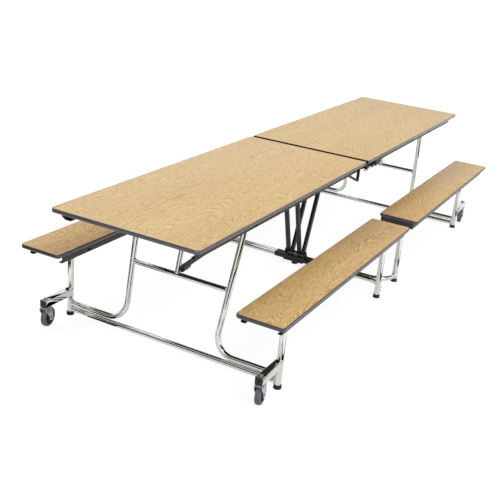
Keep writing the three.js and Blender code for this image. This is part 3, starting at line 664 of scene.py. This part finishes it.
APRON_LOW, APRON_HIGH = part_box("near_apron_left")
ARM_LOW, ARM_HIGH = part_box("near_leg_left")
BASE_LOW, BASE_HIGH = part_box("near_base_tube")
RAIL_LOW, RAIL_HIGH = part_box("near_bench_frame_left")
BRACE_LOW, BRACE_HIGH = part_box("near_brace")
HANDLE_LOW, HANDLE_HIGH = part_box("near_lift_handle")
STRUT_LOW, STRUT_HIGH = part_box("near_strut_pair")
BRACKET_LOW, BRACKET_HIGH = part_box("near_strut_bracket")
CENTER_FOOT_LOW, CENTER_FOOT_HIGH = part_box("near_center_foot_left")
CENTER_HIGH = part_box("near_center_frame")[1]
HUB_LOW, HUB_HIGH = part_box("hub")

BASE_Z = (BASE_LOW.z + BASE_HIGH.z) / 2
UPRIGHT_FOOT_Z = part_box("near_upright_left")[0].z + TUBE_RADIUS
CROSSBAR_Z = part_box("near_crossbar")[0].z + CROSSBAR_RADIUS
FOOT_FLOOR = ARM_LOW.z
FOOT_RADIUS = (CENTER_FOOT_HIGH.x - CENTER_FOOT_LOW.x) / 2
CENTER_X = (CENTER_FOOT_LOW.x + CENTER_FOOT_HIGH.x) / 2
CENTER_TUBE_X = CENTER_HIGH.x - TUBE_RADIUS
ARM_SIZE = ARM_HIGH.y - ARM_LOW.y
WHEEL_RADIUS = AXLE.z
HUB_EAR = 12 * MM
HUB_PIN_Z = HUB_HIGH.z - HUB_EAR

# Places that the boxes don't give
UPRIGHT_BEND_Y = 256 * MM
UPRIGHT_TOP_Y = 292 * MM
POST_Y = 15 * MM
ARM_Z = 112 * MM
ARM_TOP = ARM_Z + ARM_SIZE
CENTER_TUBE_Z = 40 * MM
STRUT_PLACES = (-24 * MM, 50 * MM)
WHEEL_HALF = 15 * MM
SLIDE_Z = 486 * MM
SLIDE_X = STRUT_PIVOT.x * (SLIDE_Z - HUB_PIN_Z) / (STRUT_PIVOT.z - HUB_PIN_Z)
LEAN = (TABLE_PIVOT.x - END_X) / (TABLE_PIVOT.z - UPRIGHT_FOOT_Z)
SPLAY = (UPRIGHT_TOP_Y - UPRIGHT_BEND_Y) / (TABLE_PIVOT.z - UPRIGHT_FOOT_Z)


def on_upright(z, y=None):
    """A point on the plane of the leaning uprights."""
    rise = z - UPRIGHT_FOOT_Z
    return Vector((END_X + LEAN * rise, UPRIGHT_BEND_Y + SPLAY * rise if y is None else y, z))


def spaced(start, stop, inset, count):
    """Evenly spaced places between two ends, the outer ones inset from them."""
    return [start + inset + (stop - start - 2 * inset) * index / (count - 1) for index in range(count)]


# Steel under the table halves

def aprons(end):
    flange = APRON_HIGH.y - APRON_LOW.y
    screw_y = APRON_HIGH.y - flange * SCREW_LINE
    cap_place = (TABLE_PIVOT.x, APRON_HIGH.y + 2 * MM, TABLE_PIVOT.z)
    body, slot = f"{end}_table", "charcoal_steel"
    for sign in SIDE_SIGNS:
        side = side_name(end, sign)
        node = f"{end}_apron_{side}"
        bm = channel(
            APRON_HIGH.y, -1, APRON_LOW.z, APRON_HIGH.z, flange, APRON_LOW.x, APRON_HIGH.x, APRON_CHAMFER,
        )
        piece(f"shown_{node}", bm, [CHARCOAL], body, end, sign, [node])
        shaft_cap = screw_head(cap_place, (0, 1, 0), 8 * MM, 2 * MM)
        piece(f"{end}_shaft_cap_{side}", shaft_cap, [OXIDE], body, end, sign)
        heads = [
            screw_head((x, screw_y, APRON_HIGH.z - SHEET), (0, 0, -1), 4 * MM)
            for x in spaced(APRON_LOW.x, APRON_HIGH.x, 60 * MM, 8)
        ]
        piece(f"{end}_apron_screws_{side}", join(*heads), [OXIDE], body, end, sign)


def strut_bracket(end):
    """A plate screwed to the board, with a tapering lug at each end for the struts' rod."""
    node = f"{end}_strut_bracket"
    low, high = BRACKET_LOW, BRACKET_HIGH
    thick, lug, eye = 6 * MM, 5 * MM, 13 * MM
    corner, rim = 8 * MM, 0.8 * MM
    inset_x, inset_y = 10 * MM, 14 * MM
    mid = STRUT_PIVOT.x
    root = high.z - 1 * MM
    shape = [
        (low.x, root), (mid - eye, STRUT_PIVOT.z - eye), (mid + eye, STRUT_PIVOT.z - eye), (high.x, root),
    ]
    bm = join(
        block((low.x, low.y, high.z - thick), high, 1 * MM),
        plate(shape, low.y, low.y + lug, corner, rim),
        plate(shape, high.y - lug, high.y, corner, rim),
    )
    piece(f"shown_{node}", bm, [BLACK], f"{end}_table", end, 1, [node])
    heads = [
        screw_head((x, y, high.z - thick), (0, 0, -1), 4 * MM)
        for x in (low.x + inset_x, high.x - inset_x)
        for y in (low.y + inset_y, high.y - inset_y)
    ]
    piece(f"{end}_bracket_screws", join(*heads), [OXIDE], f"{end}_table", end)


def lift_handle(end):
    """A flat bar bent to a triangle, with its top against the board."""
    node = f"{end}_lift_handle"
    low, high = HANDLE_LOW, HANDLE_HIGH
    thick, rim = 12 * MM, 2 * MM
    toe = high.x - 16 * MM
    slope = (high.z - low.z) / (toe - low.x)
    rise = thick * math.hypot(1, slope)
    sling = [
        (low.x, high.z), (toe, low.z), (high.x, low.z), (high.x, low.z + thick), (toe, low.z + rise),
        (low.x + rise / slope, high.z),
    ]
    bm = join(
        plate(sling, low.y, high.y, 0, rim),
        block((low.x + rise, low.y, high.z - thick), high, rim),
        block((high.x - thick, low.y, low.z), high, rim),
    )
    piece(f"shown_{node}", bm, [BLACK], f"{end}_table", end, 1, [node])


def catch_rod(end):
    """A chrome rod along the outside of one apron, held by two clips, with a black knob on its end."""
    y, z = APRON_HIGH.y + 9 * MM, APRON_LOW.z - 4 * MM
    radius, seam_x, knob_x, knob_end = 6 * MM, -40 * MM, -205 * MM, -235 * MM
    half, clip_half = 8 * MM, 7 * MM
    knob = block((knob_end, y - half, z - 10 * MM), (knob_x, y + half, z + 16 * MM), 4 * MM)
    parts = [rod(radius, (seam_x, y, z), (knob_x - 2 * MM, y, z), 24, 1.5 * MM), painted(knob, 1)]
    for x in (-70 * MM, -165 * MM):
        low, high = (x - clip_half, APRON_HIGH.y - 1 * MM, z - half), (x + clip_half, y + half, z + 14 * MM)
        parts.append(painted(block(low, high, 2 * MM), 1))
    piece(f"{end}_catch_rod", join(*parts), [CHROME, BLACK], f"{end}_table", end)


# Benches

def bench_frames(end):
    """Two rails and a cross channel under each bench, with the rods on which it turns."""
    low, high = RAIL_LOW, RAIL_HIGH
    flange, rim = 22 * MM, 0.6 * MM
    y0, y1 = low.y + SHEET / 2, high.y - SHEET / 2
    for sign in SIDE_SIGNS:
        side = side_name(end, sign)
        body = f"{end}_bench_{side}"
        node = f"{end}_bench_frame_{side}"
        parts = [
            channel(low.y, 1, low.z, high.z, flange, low.x, high.x),
            channel(high.y, -1, low.z, high.z, flange, low.x, high.x),
            block((high.x - SHEET, y0, low.z), (high.x, y1, high.z), rim),
            block((high.x - flange, y0, high.z - SHEET), (high.x, y1, high.z), rim),
        ]
        heads = []
        for x in (BENCH_PIVOT.x, INNER_ROD_X):
            parts.append(rod(ROD_RADIUS, (x, y0, BENCH_PIVOT.z), (x, y1, BENCH_PIVOT.z)))
            heads.append(screw_head((x, high.y, BENCH_PIVOT.z), (0, 1, 0), 6 * MM, 3 * MM))
            heads.append(screw_head((x, low.y, BENCH_PIVOT.z), (0, -1, 0), 6 * MM, 3 * MM))
        for y in (low.y + flange * SCREW_LINE, high.y - flange * SCREW_LINE):
            for x in spaced(low.x, high.x, 50 * MM, 6):
                heads.append(screw_head((x, y, high.z - SHEET), (0, 0, -1), 3.5 * MM))
        piece(f"shown_{node}", join(*parts), [CHARCOAL], body, end, sign, [node])
        piece(f"{end}_bench_fasteners_{side}", join(*heads), [OXIDE], body, end, sign)


# End frames

def end_frame(end):
    body = f"{end}_end_frame"
    reach = LEG_Y - LEG_RADIUS * WELD_REACH
    base = join(
        rod(TUBE_RADIUS, (END_X, -reach, BASE_Z), (END_X, reach, BASE_Z)),
        weld(TUBE_RADIUS, (END_X, LEG_Y - LEG_RADIUS, BASE_Z), (0, 1, 0)),
        weld(TUBE_RADIUS, (END_X, LEG_RADIUS - LEG_Y, BASE_Z), (0, 1, 0)),
    )
    node = f"{end}_base_tube"
    piece(f"shown_{node}", base, [CHROME], body, end, 1, [node])
    crossbar(end, body)
    for sign in SIDE_SIGNS:
        side = side_name(end, sign)
        upright(end, sign, side, body)
        leg(end, sign, side, body)
        node = f"{end}_foot_{side}"
        piece(f"shown_{node}", foot_cup(END_X), [RUBBER], body, end, sign, [node])


def upright(end, sign, side, body):
    """A tube from the leg along the base tube, bent up to the shaft under the table."""
    past_shaft = 11 * MM
    corners = [
        (END_X, LEG_Y - LEG_RADIUS * WELD_REACH, UPRIGHT_FOOT_Z), (END_X, UPRIGHT_BEND_Y, UPRIGHT_FOOT_Z),
        on_upright(TABLE_PIVOT.z + past_shaft),
    ]
    bm = join(
        tube(TUBE_RADIUS, corners, UPRIGHT_BEND),
        weld(TUBE_RADIUS, (END_X, LEG_Y - LEG_RADIUS, UPRIGHT_FOOT_Z), (0, 1, 0)),
    )
    node = f"{end}_upright_{side}"
    piece(f"shown_{node}", bm, [CHROME], body, end, sign, [node])


def crossbar(end, body):
    """The bar between the uprights with its post, the table's shaft and the pin of the brace."""
    foot = on_upright(CROSSBAR_Z, POST_Y)
    top = on_upright(TABLE_PIVOT.z, POST_Y)
    lean = (top - foot).normalized()
    upright_y = on_upright(CROSSBAR_Z).y
    reach = upright_y - TUBE_RADIUS * WELD_REACH
    weld_y = upright_y - TUBE_RADIUS
    shaft_end = APRON_HIGH.y + 2 * MM
    pin_end = (BRACE_PIVOT.x, BRACE_LOW.y - 0.5 * MM, BRACE_PIVOT.z)
    bm = join(
        rod(CROSSBAR_RADIUS, (foot.x, -reach, CROSSBAR_Z), (foot.x, reach, CROSSBAR_Z)),
        weld(CROSSBAR_RADIUS, (foot.x, weld_y, CROSSBAR_Z), (0, 1, 0)),
        weld(CROSSBAR_RADIUS, (foot.x, -weld_y, CROSSBAR_Z), (0, 1, 0)),
        rod(CROSSBAR_RADIUS, foot, top - lean * SHAFT_RADIUS / 2),
        weld(CROSSBAR_RADIUS, foot + lean * CROSSBAR_RADIUS, lean),
        rod(SHAFT_RADIUS, (top.x, -shaft_end, top.z), (top.x, shaft_end, top.z)),
        rod(ROD_RADIUS, pin_end, (BRACE_PIVOT.x, POST_Y, BRACE_PIVOT.z)),
        painted(hex_nut(pin_end, (0, -1, 0), 8 * MM, 5 * MM), 1),
    )
    node = f"{end}_crossbar"
    piece(f"shown_{node}", bm, [CHROME, OXIDE], body, end, 1, [node])


def leg(end, sign, side, body):
    """A bench leg with its square caster arm, which has a nylon end cap."""
    y0, y1 = LEG_Y - ARM_SIZE / 2, LEG_Y + ARM_SIZE / 2
    cap_x = ARM_LOW.x + 3 * MM
    nut_place = (END_X - 27 * MM, LEG_Y, ARM_TOP)
    screw_place = (ARM_LOW.x, LEG_Y, ARM_Z + ARM_SIZE / 2)
    bm = join(
        rod(LEG_RADIUS, (END_X, LEG_Y, FOOT_FLOOR), (END_X, LEG_Y, ARM_HIGH.z), rim=LEG_RIM),
        block((cap_x, y0, ARM_Z), (END_X, y1, ARM_TOP), 4 * MM, 4),
        painted(block((ARM_LOW.x, y0, ARM_Z), (cap_x, y1, ARM_TOP), 1.2 * MM), 1),
        painted(hex_nut(nut_place, (0, 0, 1), 7 * MM, 6 * MM), 2),
        painted(screw_head(screw_place, (-1, 0, 0), 4 * MM, 2 * MM), 2),
    )
    node = f"{end}_leg_{side}"
    piece(f"shown_{node}", bm, [CHROME, NYLON, OXIDE], body, end, sign, [node])


def foot_cup(x):
    """A moulded cup with a flared sole and a rolled lip round the leg."""
    rise, outer = CENTER_FOOT_HIGH.z, FOOT_RADIUS
    bore = LEG_RADIUS + 0.2 * MM
    profile = [
        (0, 0), (outer - 3 * MM, 0), (outer - 1 * MM, 0.8 * MM), (outer, 2.6 * MM), (outer, 5 * MM),
        (outer - 1.4 * MM, 7 * MM), (outer - 1.6 * MM, rise - 4 * MM), (outer - 0.9 * MM, rise - 2 * MM),
        (outer - 1.2 * MM, rise - 0.6 * MM), (outer - 2 * MM, rise), (bore, rise), (bore, FOOT_FLOOR),
        (0, FOOT_FLOOR),
    ]
    return lathe(profile, Matrix.Translation((x, LEG_Y, 0)), 48)


# Casters

def casters(end):
    """The two casters of an end. They all trail the same way, so they are moved and not mirrored."""
    trail = Vector((AXLE.x - STEM.x, AXLE.y - STEM.y, 0))
    turn = Matrix.Rotation(math.atan2(trail.y, trail.x), 4, "Z")
    for sign in SIDE_SIGNS:
        side = side_name(end, sign)
        place = Matrix.Translation((STEM.x, STEM.y * sign, 0)) @ turn
        fork = caster_fork(trail.length)
        bmesh.ops.transform(fork, matrix=place, verts=fork.verts)
        node = f"{end}_caster_fork_{side}"
        piece(f"shown_{node}", fork, [ZINC, FASTENER], f"{end}_caster_{side}", end, 1, [node])
        wheel = caster_wheel(trail.length)
        bmesh.ops.transform(wheel, matrix=place, verts=wheel.verts)
        node = f"{end}_caster_wheel_{side}"
        finishes = [TREAD, NYLON, FASTENER]
        piece(f"shown_{node}", wheel, finishes, f"{end}_wheel_{side}", end, 1, [node])


def caster_fork(trail):
    """A pressed hood with tapering cheeks, with the swivel race, the stem, its nut and the axle bolt."""
    wall, play = 4 * MM, 2 * MM
    slot = WHEEL_HALF + play
    half = slot + wall
    top, crown, boss = 109 * MM, 25 * MM, 14 * MM
    race, race_gap, stem = 19 * MM, 0.3 * MM, 6 * MM
    corner, rim = 7 * MM, 1 * MM
    axle_z = WHEEL_RADIUS
    cheek = [
        (-crown, top - rim), (-crown, top - 18 * MM), (trail - boss, axle_z + 4 * MM),
        (trail - boss, axle_z - boss), (trail + boss, axle_z - boss), (trail + boss, axle_z + 10 * MM),
        (crown + 6 * MM, top - 10 * MM), (crown + 2 * MM, top - rim),
    ]
    parts = [
        plate(cheek, slot, half, corner, rim),
        plate(cheek, -half, -slot, corner, rim),
        block((-crown, -half, top - wall), (crown + 2 * MM, half, top), 1.8 * MM),
    ]
    turned = [
        rod(race, (0, 0, top - rim), (0, 0, ARM_Z - race_gap), 40, 0.8 * MM),
        rod(stem, (0, 0, top), (0, 0, ARM_TOP + 2 * MM), 24),
        hex_nut((0, 0, ARM_TOP + race_gap), (0, 0, 1), 9 * MM, 8 * MM, 2 * MM),
        rod(ROD_RADIUS, (trail, -half, axle_z), (trail, half, axle_z), 24),
        hex_nut((trail, half, axle_z), (0, 1, 0), 7 * MM, 3 * MM),
        hex_nut((trail, -half, axle_z), (0, -1, 0), 7 * MM, 3 * MM),
    ]
    return join(*parts, *[painted(shape, 1) for shape in turned])


def mirrored_profile(face):
    """A wheel's closed profile from its points on one side."""
    return face + [(r, -w) for r, w in reversed(face)]


def caster_wheel(trail):
    """A grey tread with rounded shoulders on a moulded core, with a dished web, ribs and a steel bush."""
    radius, half = WHEEL_RADIUS, WHEEL_HALF
    rim, web, hub_radius, bore, bush = 37 * MM, 9 * MM, 15 * MM, 5.4 * MM, 8.4 * MM
    rib_count, rib_half, rib_rise = 10, 1.1 * MM, 2.4 * MM
    to_axle = Matrix.Translation((trail, 0, radius))
    to_side = to_axle @ Matrix.Rotation(math.pi / 2, 4, "X")
    tread_face = [
        (rim, half - 1.4 * MM), (rim + 4 * MM, half - 1 * MM), (radius - 6 * MM, half - 1 * MM),
        (radius - 2.4 * MM, half - 3 * MM), (radius - 0.6 * MM, half - 6.5 * MM), (radius, half / 3),
    ]
    core_face = [
        (bush, half), (hub_radius - 2 * MM, half), (hub_radius, half - 1.4 * MM),
        (hub_radius + 2 * MM, web), (rim - 3.5 * MM, web), (rim - 1.5 * MM, half - 2.5 * MM),
        (rim, half - 1.6 * MM),
    ]
    bush_face = [(bore, half - 0.4 * MM), (bush, half - 0.4 * MM)]
    parts = [
        lathe(mirrored_profile(tread_face), to_side, 96),
        painted(lathe(mirrored_profile(core_face), to_side, 72), 1),
        painted(lathe(mirrored_profile(bush_face), to_side, 40), 2),
    ]
    for index in range(rib_count):
        low, high = (hub_radius, -web - rib_rise, -rib_half), (rim - 2.5 * MM, web + rib_rise, rib_half)
        rib = block(low, high, 0.5 * MM, 2)
        turn = Matrix.Rotation(index * math.tau / rib_count, 4, "Y")
        bmesh.ops.transform(rib, matrix=to_axle @ turn, verts=rib.verts)
        parts.append(painted(rib, 1))
    return join(*parts)


# Centre frame, hub, struts and braces

def center_frame(end):
    """A tube bent at both ends from leg to leg, and the legs with the arms that carry the inner rods."""
    weld_x = CENTER_X + LEG_RADIUS * WELD_REACH
    arm_half_depth, arm_half = 10 * MM, 3 * MM
    corners = [
        (weld_x, -LEG_Y, CENTER_TUBE_Z), (CENTER_TUBE_X, -LEG_Y, CENTER_TUBE_Z),
        (CENTER_TUBE_X, LEG_Y, CENTER_TUBE_Z), (weld_x, LEG_Y, CENTER_TUBE_Z),
    ]
    parts = [tube(TUBE_RADIUS, corners, CENTER_BEND)]
    for y in (LEG_Y, -LEG_Y):
        arm = bar(
            (CENTER_X, BENCH_PIVOT.z), (INNER_ROD_X, BENCH_PIVOT.z), arm_half_depth, y - arm_half,
            y + arm_half, 0.8 * MM,
        )
        parts += [
            rod(LEG_RADIUS, (CENTER_X, y, FOOT_FLOOR), (CENTER_X, y, CENTER_HIGH.z), rim=LEG_RIM),
            weld(TUBE_RADIUS, (CENTER_X + LEG_RADIUS, y, CENTER_TUBE_Z), (1, 0, 0)),
            painted(arm, 1),
        ]
    node = f"{end}_center_frame"
    piece(f"shown_{node}", join(*parts), [CHROME, BLACK], "center_frame", end, 1, [node])
    for sign in SIDE_SIGNS:
        node = f"{end}_center_foot_{side_name(end, sign)}"
        foot = foot_cup(CENTER_X)
        piece(f"shown_{node}", foot, [RUBBER], "center_frame", end, sign, [node])


def strut_pair(end):
    """Two flat struts from the hub's pin to their rod under the table, and the brace's sliding pin."""
    half_depth, half_width = 13 * MM, 10 * MM
    top = (STRUT_PIVOT.x, STRUT_PIVOT.z)
    parts = [
        bar((0, HUB_PIN_Z), top, half_depth, y - half_width, y + half_width, 3.5 * MM) for y in STRUT_PLACES
    ]
    right, left = STRUT_PLACES
    parts += [
        rod(STRUT_ROD_RADIUS, (top[0], STRUT_LOW.y, top[1]), (top[0], STRUT_HIGH.y, top[1]), rim=1 * MM),
        rod(ROD_RADIUS, (SLIDE_X, right, SLIDE_Z), (SLIDE_X, left, SLIDE_Z)),
    ]
    for y, way in ((right - half_width, -1), (left + half_width, 1)):
        parts.append(painted(hex_nut((SLIDE_X, y, SLIDE_Z), (0, way, 0), 7 * MM, 5 * MM), 1))
    node = f"{end}_strut_pair"
    piece(f"shown_{node}", join(*parts), [BLACK, OXIDE], "center_frame", end, 1, [node])


def brace(end):
    """A channel on the post's pin, with a slotted eye in which the struts' pin slides."""
    run = Vector((SLIDE_X - BRACE_PIVOT.x, 0, SLIDE_Z - BRACE_PIVOT.z))
    length = run.length
    along = run.normalized()
    y0, y1 = BRACE_LOW.y, BRACE_HIGH.y
    depth, rim = 24 * MM, 1.5 * MM
    heel, channel_start, channel_stop = 60 * MM, 20 * MM, length - 40 * MM
    neck_start, neck_stop = length - 90 * MM, length - 38 * MM
    slot_start, slot_stop = length - 14 * MM, length + 26 * MM
    eye_half, slot_half = 17 * MM, 8 * MM

    def at(distance):
        spot = BRACE_PIVOT + along * distance
        return spot.x, spot.z

    body = channel(0, -1, y0, y1, depth, channel_start, channel_stop)
    tilt = Matrix.Rotation(-math.atan2(along.z, along.x), 4, "Y")
    on_side = Matrix.Rotation(math.pi / 2, 4, "X")
    to_middle = Matrix.Translation((0, 0, depth / 2))
    to_pivot = Matrix.Translation((BRACE_PIVOT.x, 0, BRACE_PIVOT.z))
    bmesh.ops.transform(body, matrix=to_pivot @ tilt @ to_middle @ on_side, verts=body.verts)
    bmesh.ops.recalc_face_normals(body, faces=body.faces)
    parts = [
        body,
        bar(at(0), at(heel), depth / 2, y0, y1, rim),
        bar(at(neck_start), at(neck_stop), depth / 2, y0, y1, rim),
        bar(at(slot_start), at(slot_stop), eye_half, y0, y1, 1.2 * MM, slot_half),
    ]
    node = f"{end}_brace"
    piece(f"shown_{node}", join(*parts), [CHARCOAL], f"{end}_brace", end, 1, [node])


def hub():
    """A clamp in two shells on sleeves round the centre tubes, with lugs and a pin for the struts."""
    half, low, top = HUB_HIGH.x, HUB_LOW.z, 60 * MM
    upper, lower = CENTER_TUBE_Z + 1 * MM, CENTER_TUBE_Z - 1 * MM
    lug, lug_end = 62 * MM, 68 * MM
    pin_end = lug_end + 3 * MM
    ear_half, ear_foot = 20 * MM, top - 3 * MM
    shell_rim, ear_corner, ear_rim = 7 * MM, 9 * MM, 0.8 * MM
    bolt_x, bolt_y = 26 * MM, 30 * MM
    ear = [(-ear_half, ear_foot), (ear_half, ear_foot), (HUB_EAR, HUB_HIGH.z), (-HUB_EAR, HUB_HIGH.z)]
    parts = [
        block((-half, -lug_end, upper), (half, lug_end, top), shell_rim, 4),
        block((-half, -lug_end, low), (half, lug_end, lower), shell_rim, 4),
        plate(ear, lug, lug_end, ear_corner, ear_rim),
        plate(ear, -lug_end, -lug, ear_corner, ear_rim),
        rod(STRUT_ROD_RADIUS, (0, -pin_end, HUB_PIN_Z), (0, pin_end, HUB_PIN_Z), 32, ear_rim),
    ]
    sleeve = TUBE_RADIUS + 3 * MM
    for x in (CENTER_TUBE_X, -CENTER_TUBE_X):
        start, stop = (x, HUB_LOW.y, CENTER_TUBE_Z), (x, HUB_HIGH.y, CENTER_TUBE_Z)
        parts.append(rod(sleeve, start, stop, rim=1.2 * MM))
    for y in (-bolt_y, bolt_y):
        for x in (bolt_x, -bolt_x):
            parts.append(painted(hex_nut((x, y, top), (0, 0, 1), 6 * MM, 5 * MM), 1))
    for way in (-1, 1):
        parts.append(painted(hex_nut((0, way * lug_end, HUB_PIN_Z), (0, way, 0), 9 * MM, 4 * MM), 1))
    piece("shown_hub", join(*parts), [BLACK, OXIDE], "center_frame", nodes=["hub"])
    rise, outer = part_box("hub_foot")[1].z, FOOT_RADIUS
    profile = [
        (0, 0), (outer - 3 * MM, 0), (outer - 0.6 * MM, 1 * MM), (outer, 3 * MM), (outer - 1 * MM, 7 * MM),
        (outer - 4 * MM, 9 * MM), (outer - 5 * MM, rise), (0, rise),
    ]
    foot = lathe(profile, Matrix.Identity(4), 48)
    piece("shown_hub_foot", foot, [RUBBER], "center_frame", nodes=["hub_foot"])


for half in ENDS:
    aprons(half)
    strut_bracket(half)
    lift_handle(half)
    catch_rod(half)
    bench_frames(half)
    end_frame(half)
    casters(half)
    center_frame(half)
    strut_pair(half)
    brace(half)
hub()


# Stage, light and camera

WHITE = (1, 1, 1, 1)
SCREEN_LIFT = 2 * MM
# Dark screens that lie on the floor: centre and half size along X and Y, in metres
FLOOR_SCREENS = {
    "front_screen": (-2.35, -0.2, 0.18, 3),
    "right_screen": (0, -0.86, 6, 0.06),
    "left_screen": (0, 1.4, 6, 0.3),
    "far_right_screen": (0, -6, 8, 4.1),
    "far_left_screen": (0, 6, 8, 3.9),
    # Painted shadow: a dark patch that only mirrors see, which deepens the shade on the floor under the
    # table's near end where the chrome arm mirrors it
    "arm_shadow_screen": (-1.56, 0.41, 0.2, 0.09),
}


def stage_sheet(name, material, matrix):
    """A flat sheet of the stage, two metres square before it is placed."""
    bm = bmesh.new()
    bmesh.ops.create_grid(bm, x_segments=1, y_segments=1, size=1, matrix=matrix)
    sheet = mesh_object(name, bm, [material])
    return sheet


def studio_floor():
    """A pale floor: white to the camera with the object's soft shadow on it, and matt and paler to mirrors.

    So the chrome shows how dark it is under the table.
    """
    material, shader = new_material("studio_floor")
    tree = material.node_tree
    tree.nodes.remove(shader)
    diffuse = add_node(tree, "ShaderNodeBsdfDiffuse", {"Color": tint("#959595")})
    glow = add_node(tree, "ShaderNodeEmission", {"Color": WHITE, "Strength": 0.86})
    bright = add_node(tree, "ShaderNodeAddShader", {0: diffuse.outputs[0], 1: glow.outputs[0]})
    matt = add_node(tree, "ShaderNodeBsdfDiffuse", {"Color": tint("#f4f4f4")})
    sheen = add_node(tree, "ShaderNodeEmission", {"Color": WHITE, "Strength": 0.3})
    mirrored = add_node(tree, "ShaderNodeAddShader", {0: matt.outputs[0], 1: sheen.outputs[0]})
    light = add_node(tree, "ShaderNodeLightPath")
    seen = add_node(
        tree, "ShaderNodeMath",
        {0: light.outputs["Is Camera Ray"], 1: light.outputs["Is Transmission Ray"]}, operation="MAXIMUM",
    )
    plain = add_node(
        tree, "ShaderNodeMixShader", {"Fac": seen.outputs[0], 1: diffuse.outputs[0], 2: bright.outputs[0]},
    )
    mix = add_node(
        tree, "ShaderNodeMixShader",
        {"Fac": light.outputs["Is Glossy Ray"], 1: plain.outputs[0], 2: mirrored.outputs[0]},
    )
    tree.links.new(mix.outputs[0], tree.nodes["Material Output"].inputs["Surface"])
    stage_sheet("studio_floor", material, Matrix.Diagonal((30, 30, 1, 1)))


def dark_screens():
    """Dark studio screens that only mirrors see, for the black lines along the chrome tubes."""
    material, shader = new_material("dark_screen")
    shader.inputs["Base Color"].default_value = tint("#101010")
    shader.inputs["Roughness"].default_value = 1
    shader.inputs["Specular IOR Level"].default_value = 0
    places = {
        name: Matrix.Translation((x, y, SCREEN_LIFT)) @ Matrix.Diagonal((half_x, half_y, 1, 1))
        for name, (x, y, half_x, half_y) in FLOOR_SCREENS.items()
    }
    places["ceiling_screen"] = Matrix.Translation((1.5, 1.5, 6)) @ Matrix.Diagonal((5.5, 8, 1, 1))
    standing = Matrix.Rotation(math.pi / 2, 4, "Y")
    places["rear_screen"] = Matrix.Translation((-10, 7, 4)) @ standing @ Matrix.Diagonal((3.8, 5, 1, 1))
    for name, matrix in places.items():
        screen = stage_sheet(name, material, matrix)
        screen.visible_camera = False
        screen.visible_diffuse = False
        screen.visible_shadow = False
        screen.visible_transmission = False


def studio_world():
    """White all round to the camera and to reflections, and an even soft light on the object."""
    world = bpy.data.worlds.new("studio")
    bpy.context.scene.world = world
    world.use_nodes = True
    tree = world.node_tree
    fill = tree.nodes["Background"]
    fill.inputs["Color"].default_value = WHITE
    fill.inputs["Strength"].default_value = 0.62
    white = add_node(tree, "ShaderNodeBackground", {"Color": WHITE, "Strength": 1.0})
    light = add_node(tree, "ShaderNodeLightPath")
    seen = add_node(
        tree, "ShaderNodeMath", {0: light.outputs["Is Camera Ray"], 1: light.outputs["Is Glossy Ray"]},
        operation="MAXIMUM",
    )
    seen = add_node(
        tree, "ShaderNodeMath", {0: seen.outputs[0], 1: light.outputs["Is Transmission Ray"]},
        operation="MAXIMUM",
    )
    mix = add_node(
        tree, "ShaderNodeMixShader", {"Fac": seen.outputs[0], 1: fill.outputs[0], 2: white.outputs[0]},
    )
    tree.links.new(mix.outputs[0], tree.nodes["World Output"].inputs["Surface"])


def soft_lamp(name, place, size, power):
    """A large square lamp that faces the middle of the table."""
    lamp = bpy.data.lights.new(name, "AREA")
    lamp.size = size
    lamp.energy = power
    obj = bpy.data.objects.new(name, lamp)
    obj.location = place
    target = Vector((0, 0, 0.4))
    obj.rotation_euler = (target - Vector(place)).to_track_quat("-Z", "Y").to_euler()
    bpy.context.scene.collection.objects.link(obj)


def photo_camera():
    """The camera as measured from the photograph: its place, its three axes and its lens."""
    right = Vector((0.4792, -0.8731, 0.0899))
    up = Vector((0.2811, 0.2497, 0.9267))
    view = Vector((0.8315, 0.4188, -0.3650))
    place = Vector((-4.505, -1.951, 1.979))
    focal_pixels, frame_pixels = 848.0, 500
    camera = bpy.data.cameras.new("photo_camera")
    camera.sensor_width = 36
    camera.lens = focal_pixels / frame_pixels * camera.sensor_width
    camera.clip_end = 200
    obj = bpy.data.objects.new("photo_camera", camera)
    turn = Matrix((right, up, -view)).transposed()
    obj.matrix_world = Matrix.Translation(place) @ turn.to_4x4()
    bpy.context.scene.collection.objects.link(obj)
    bpy.context.scene.camera = obj


studio_floor()
studio_world()
soft_lamp("key", (-2.2, -4.2, 4.6), 4.0, 110)
soft_lamp("top", (0.2, 2.6, 5.5), 5.0, 105)
dark_screens()
photo_camera()
bpy.context.scene.view_settings.view_transform = "Standard"
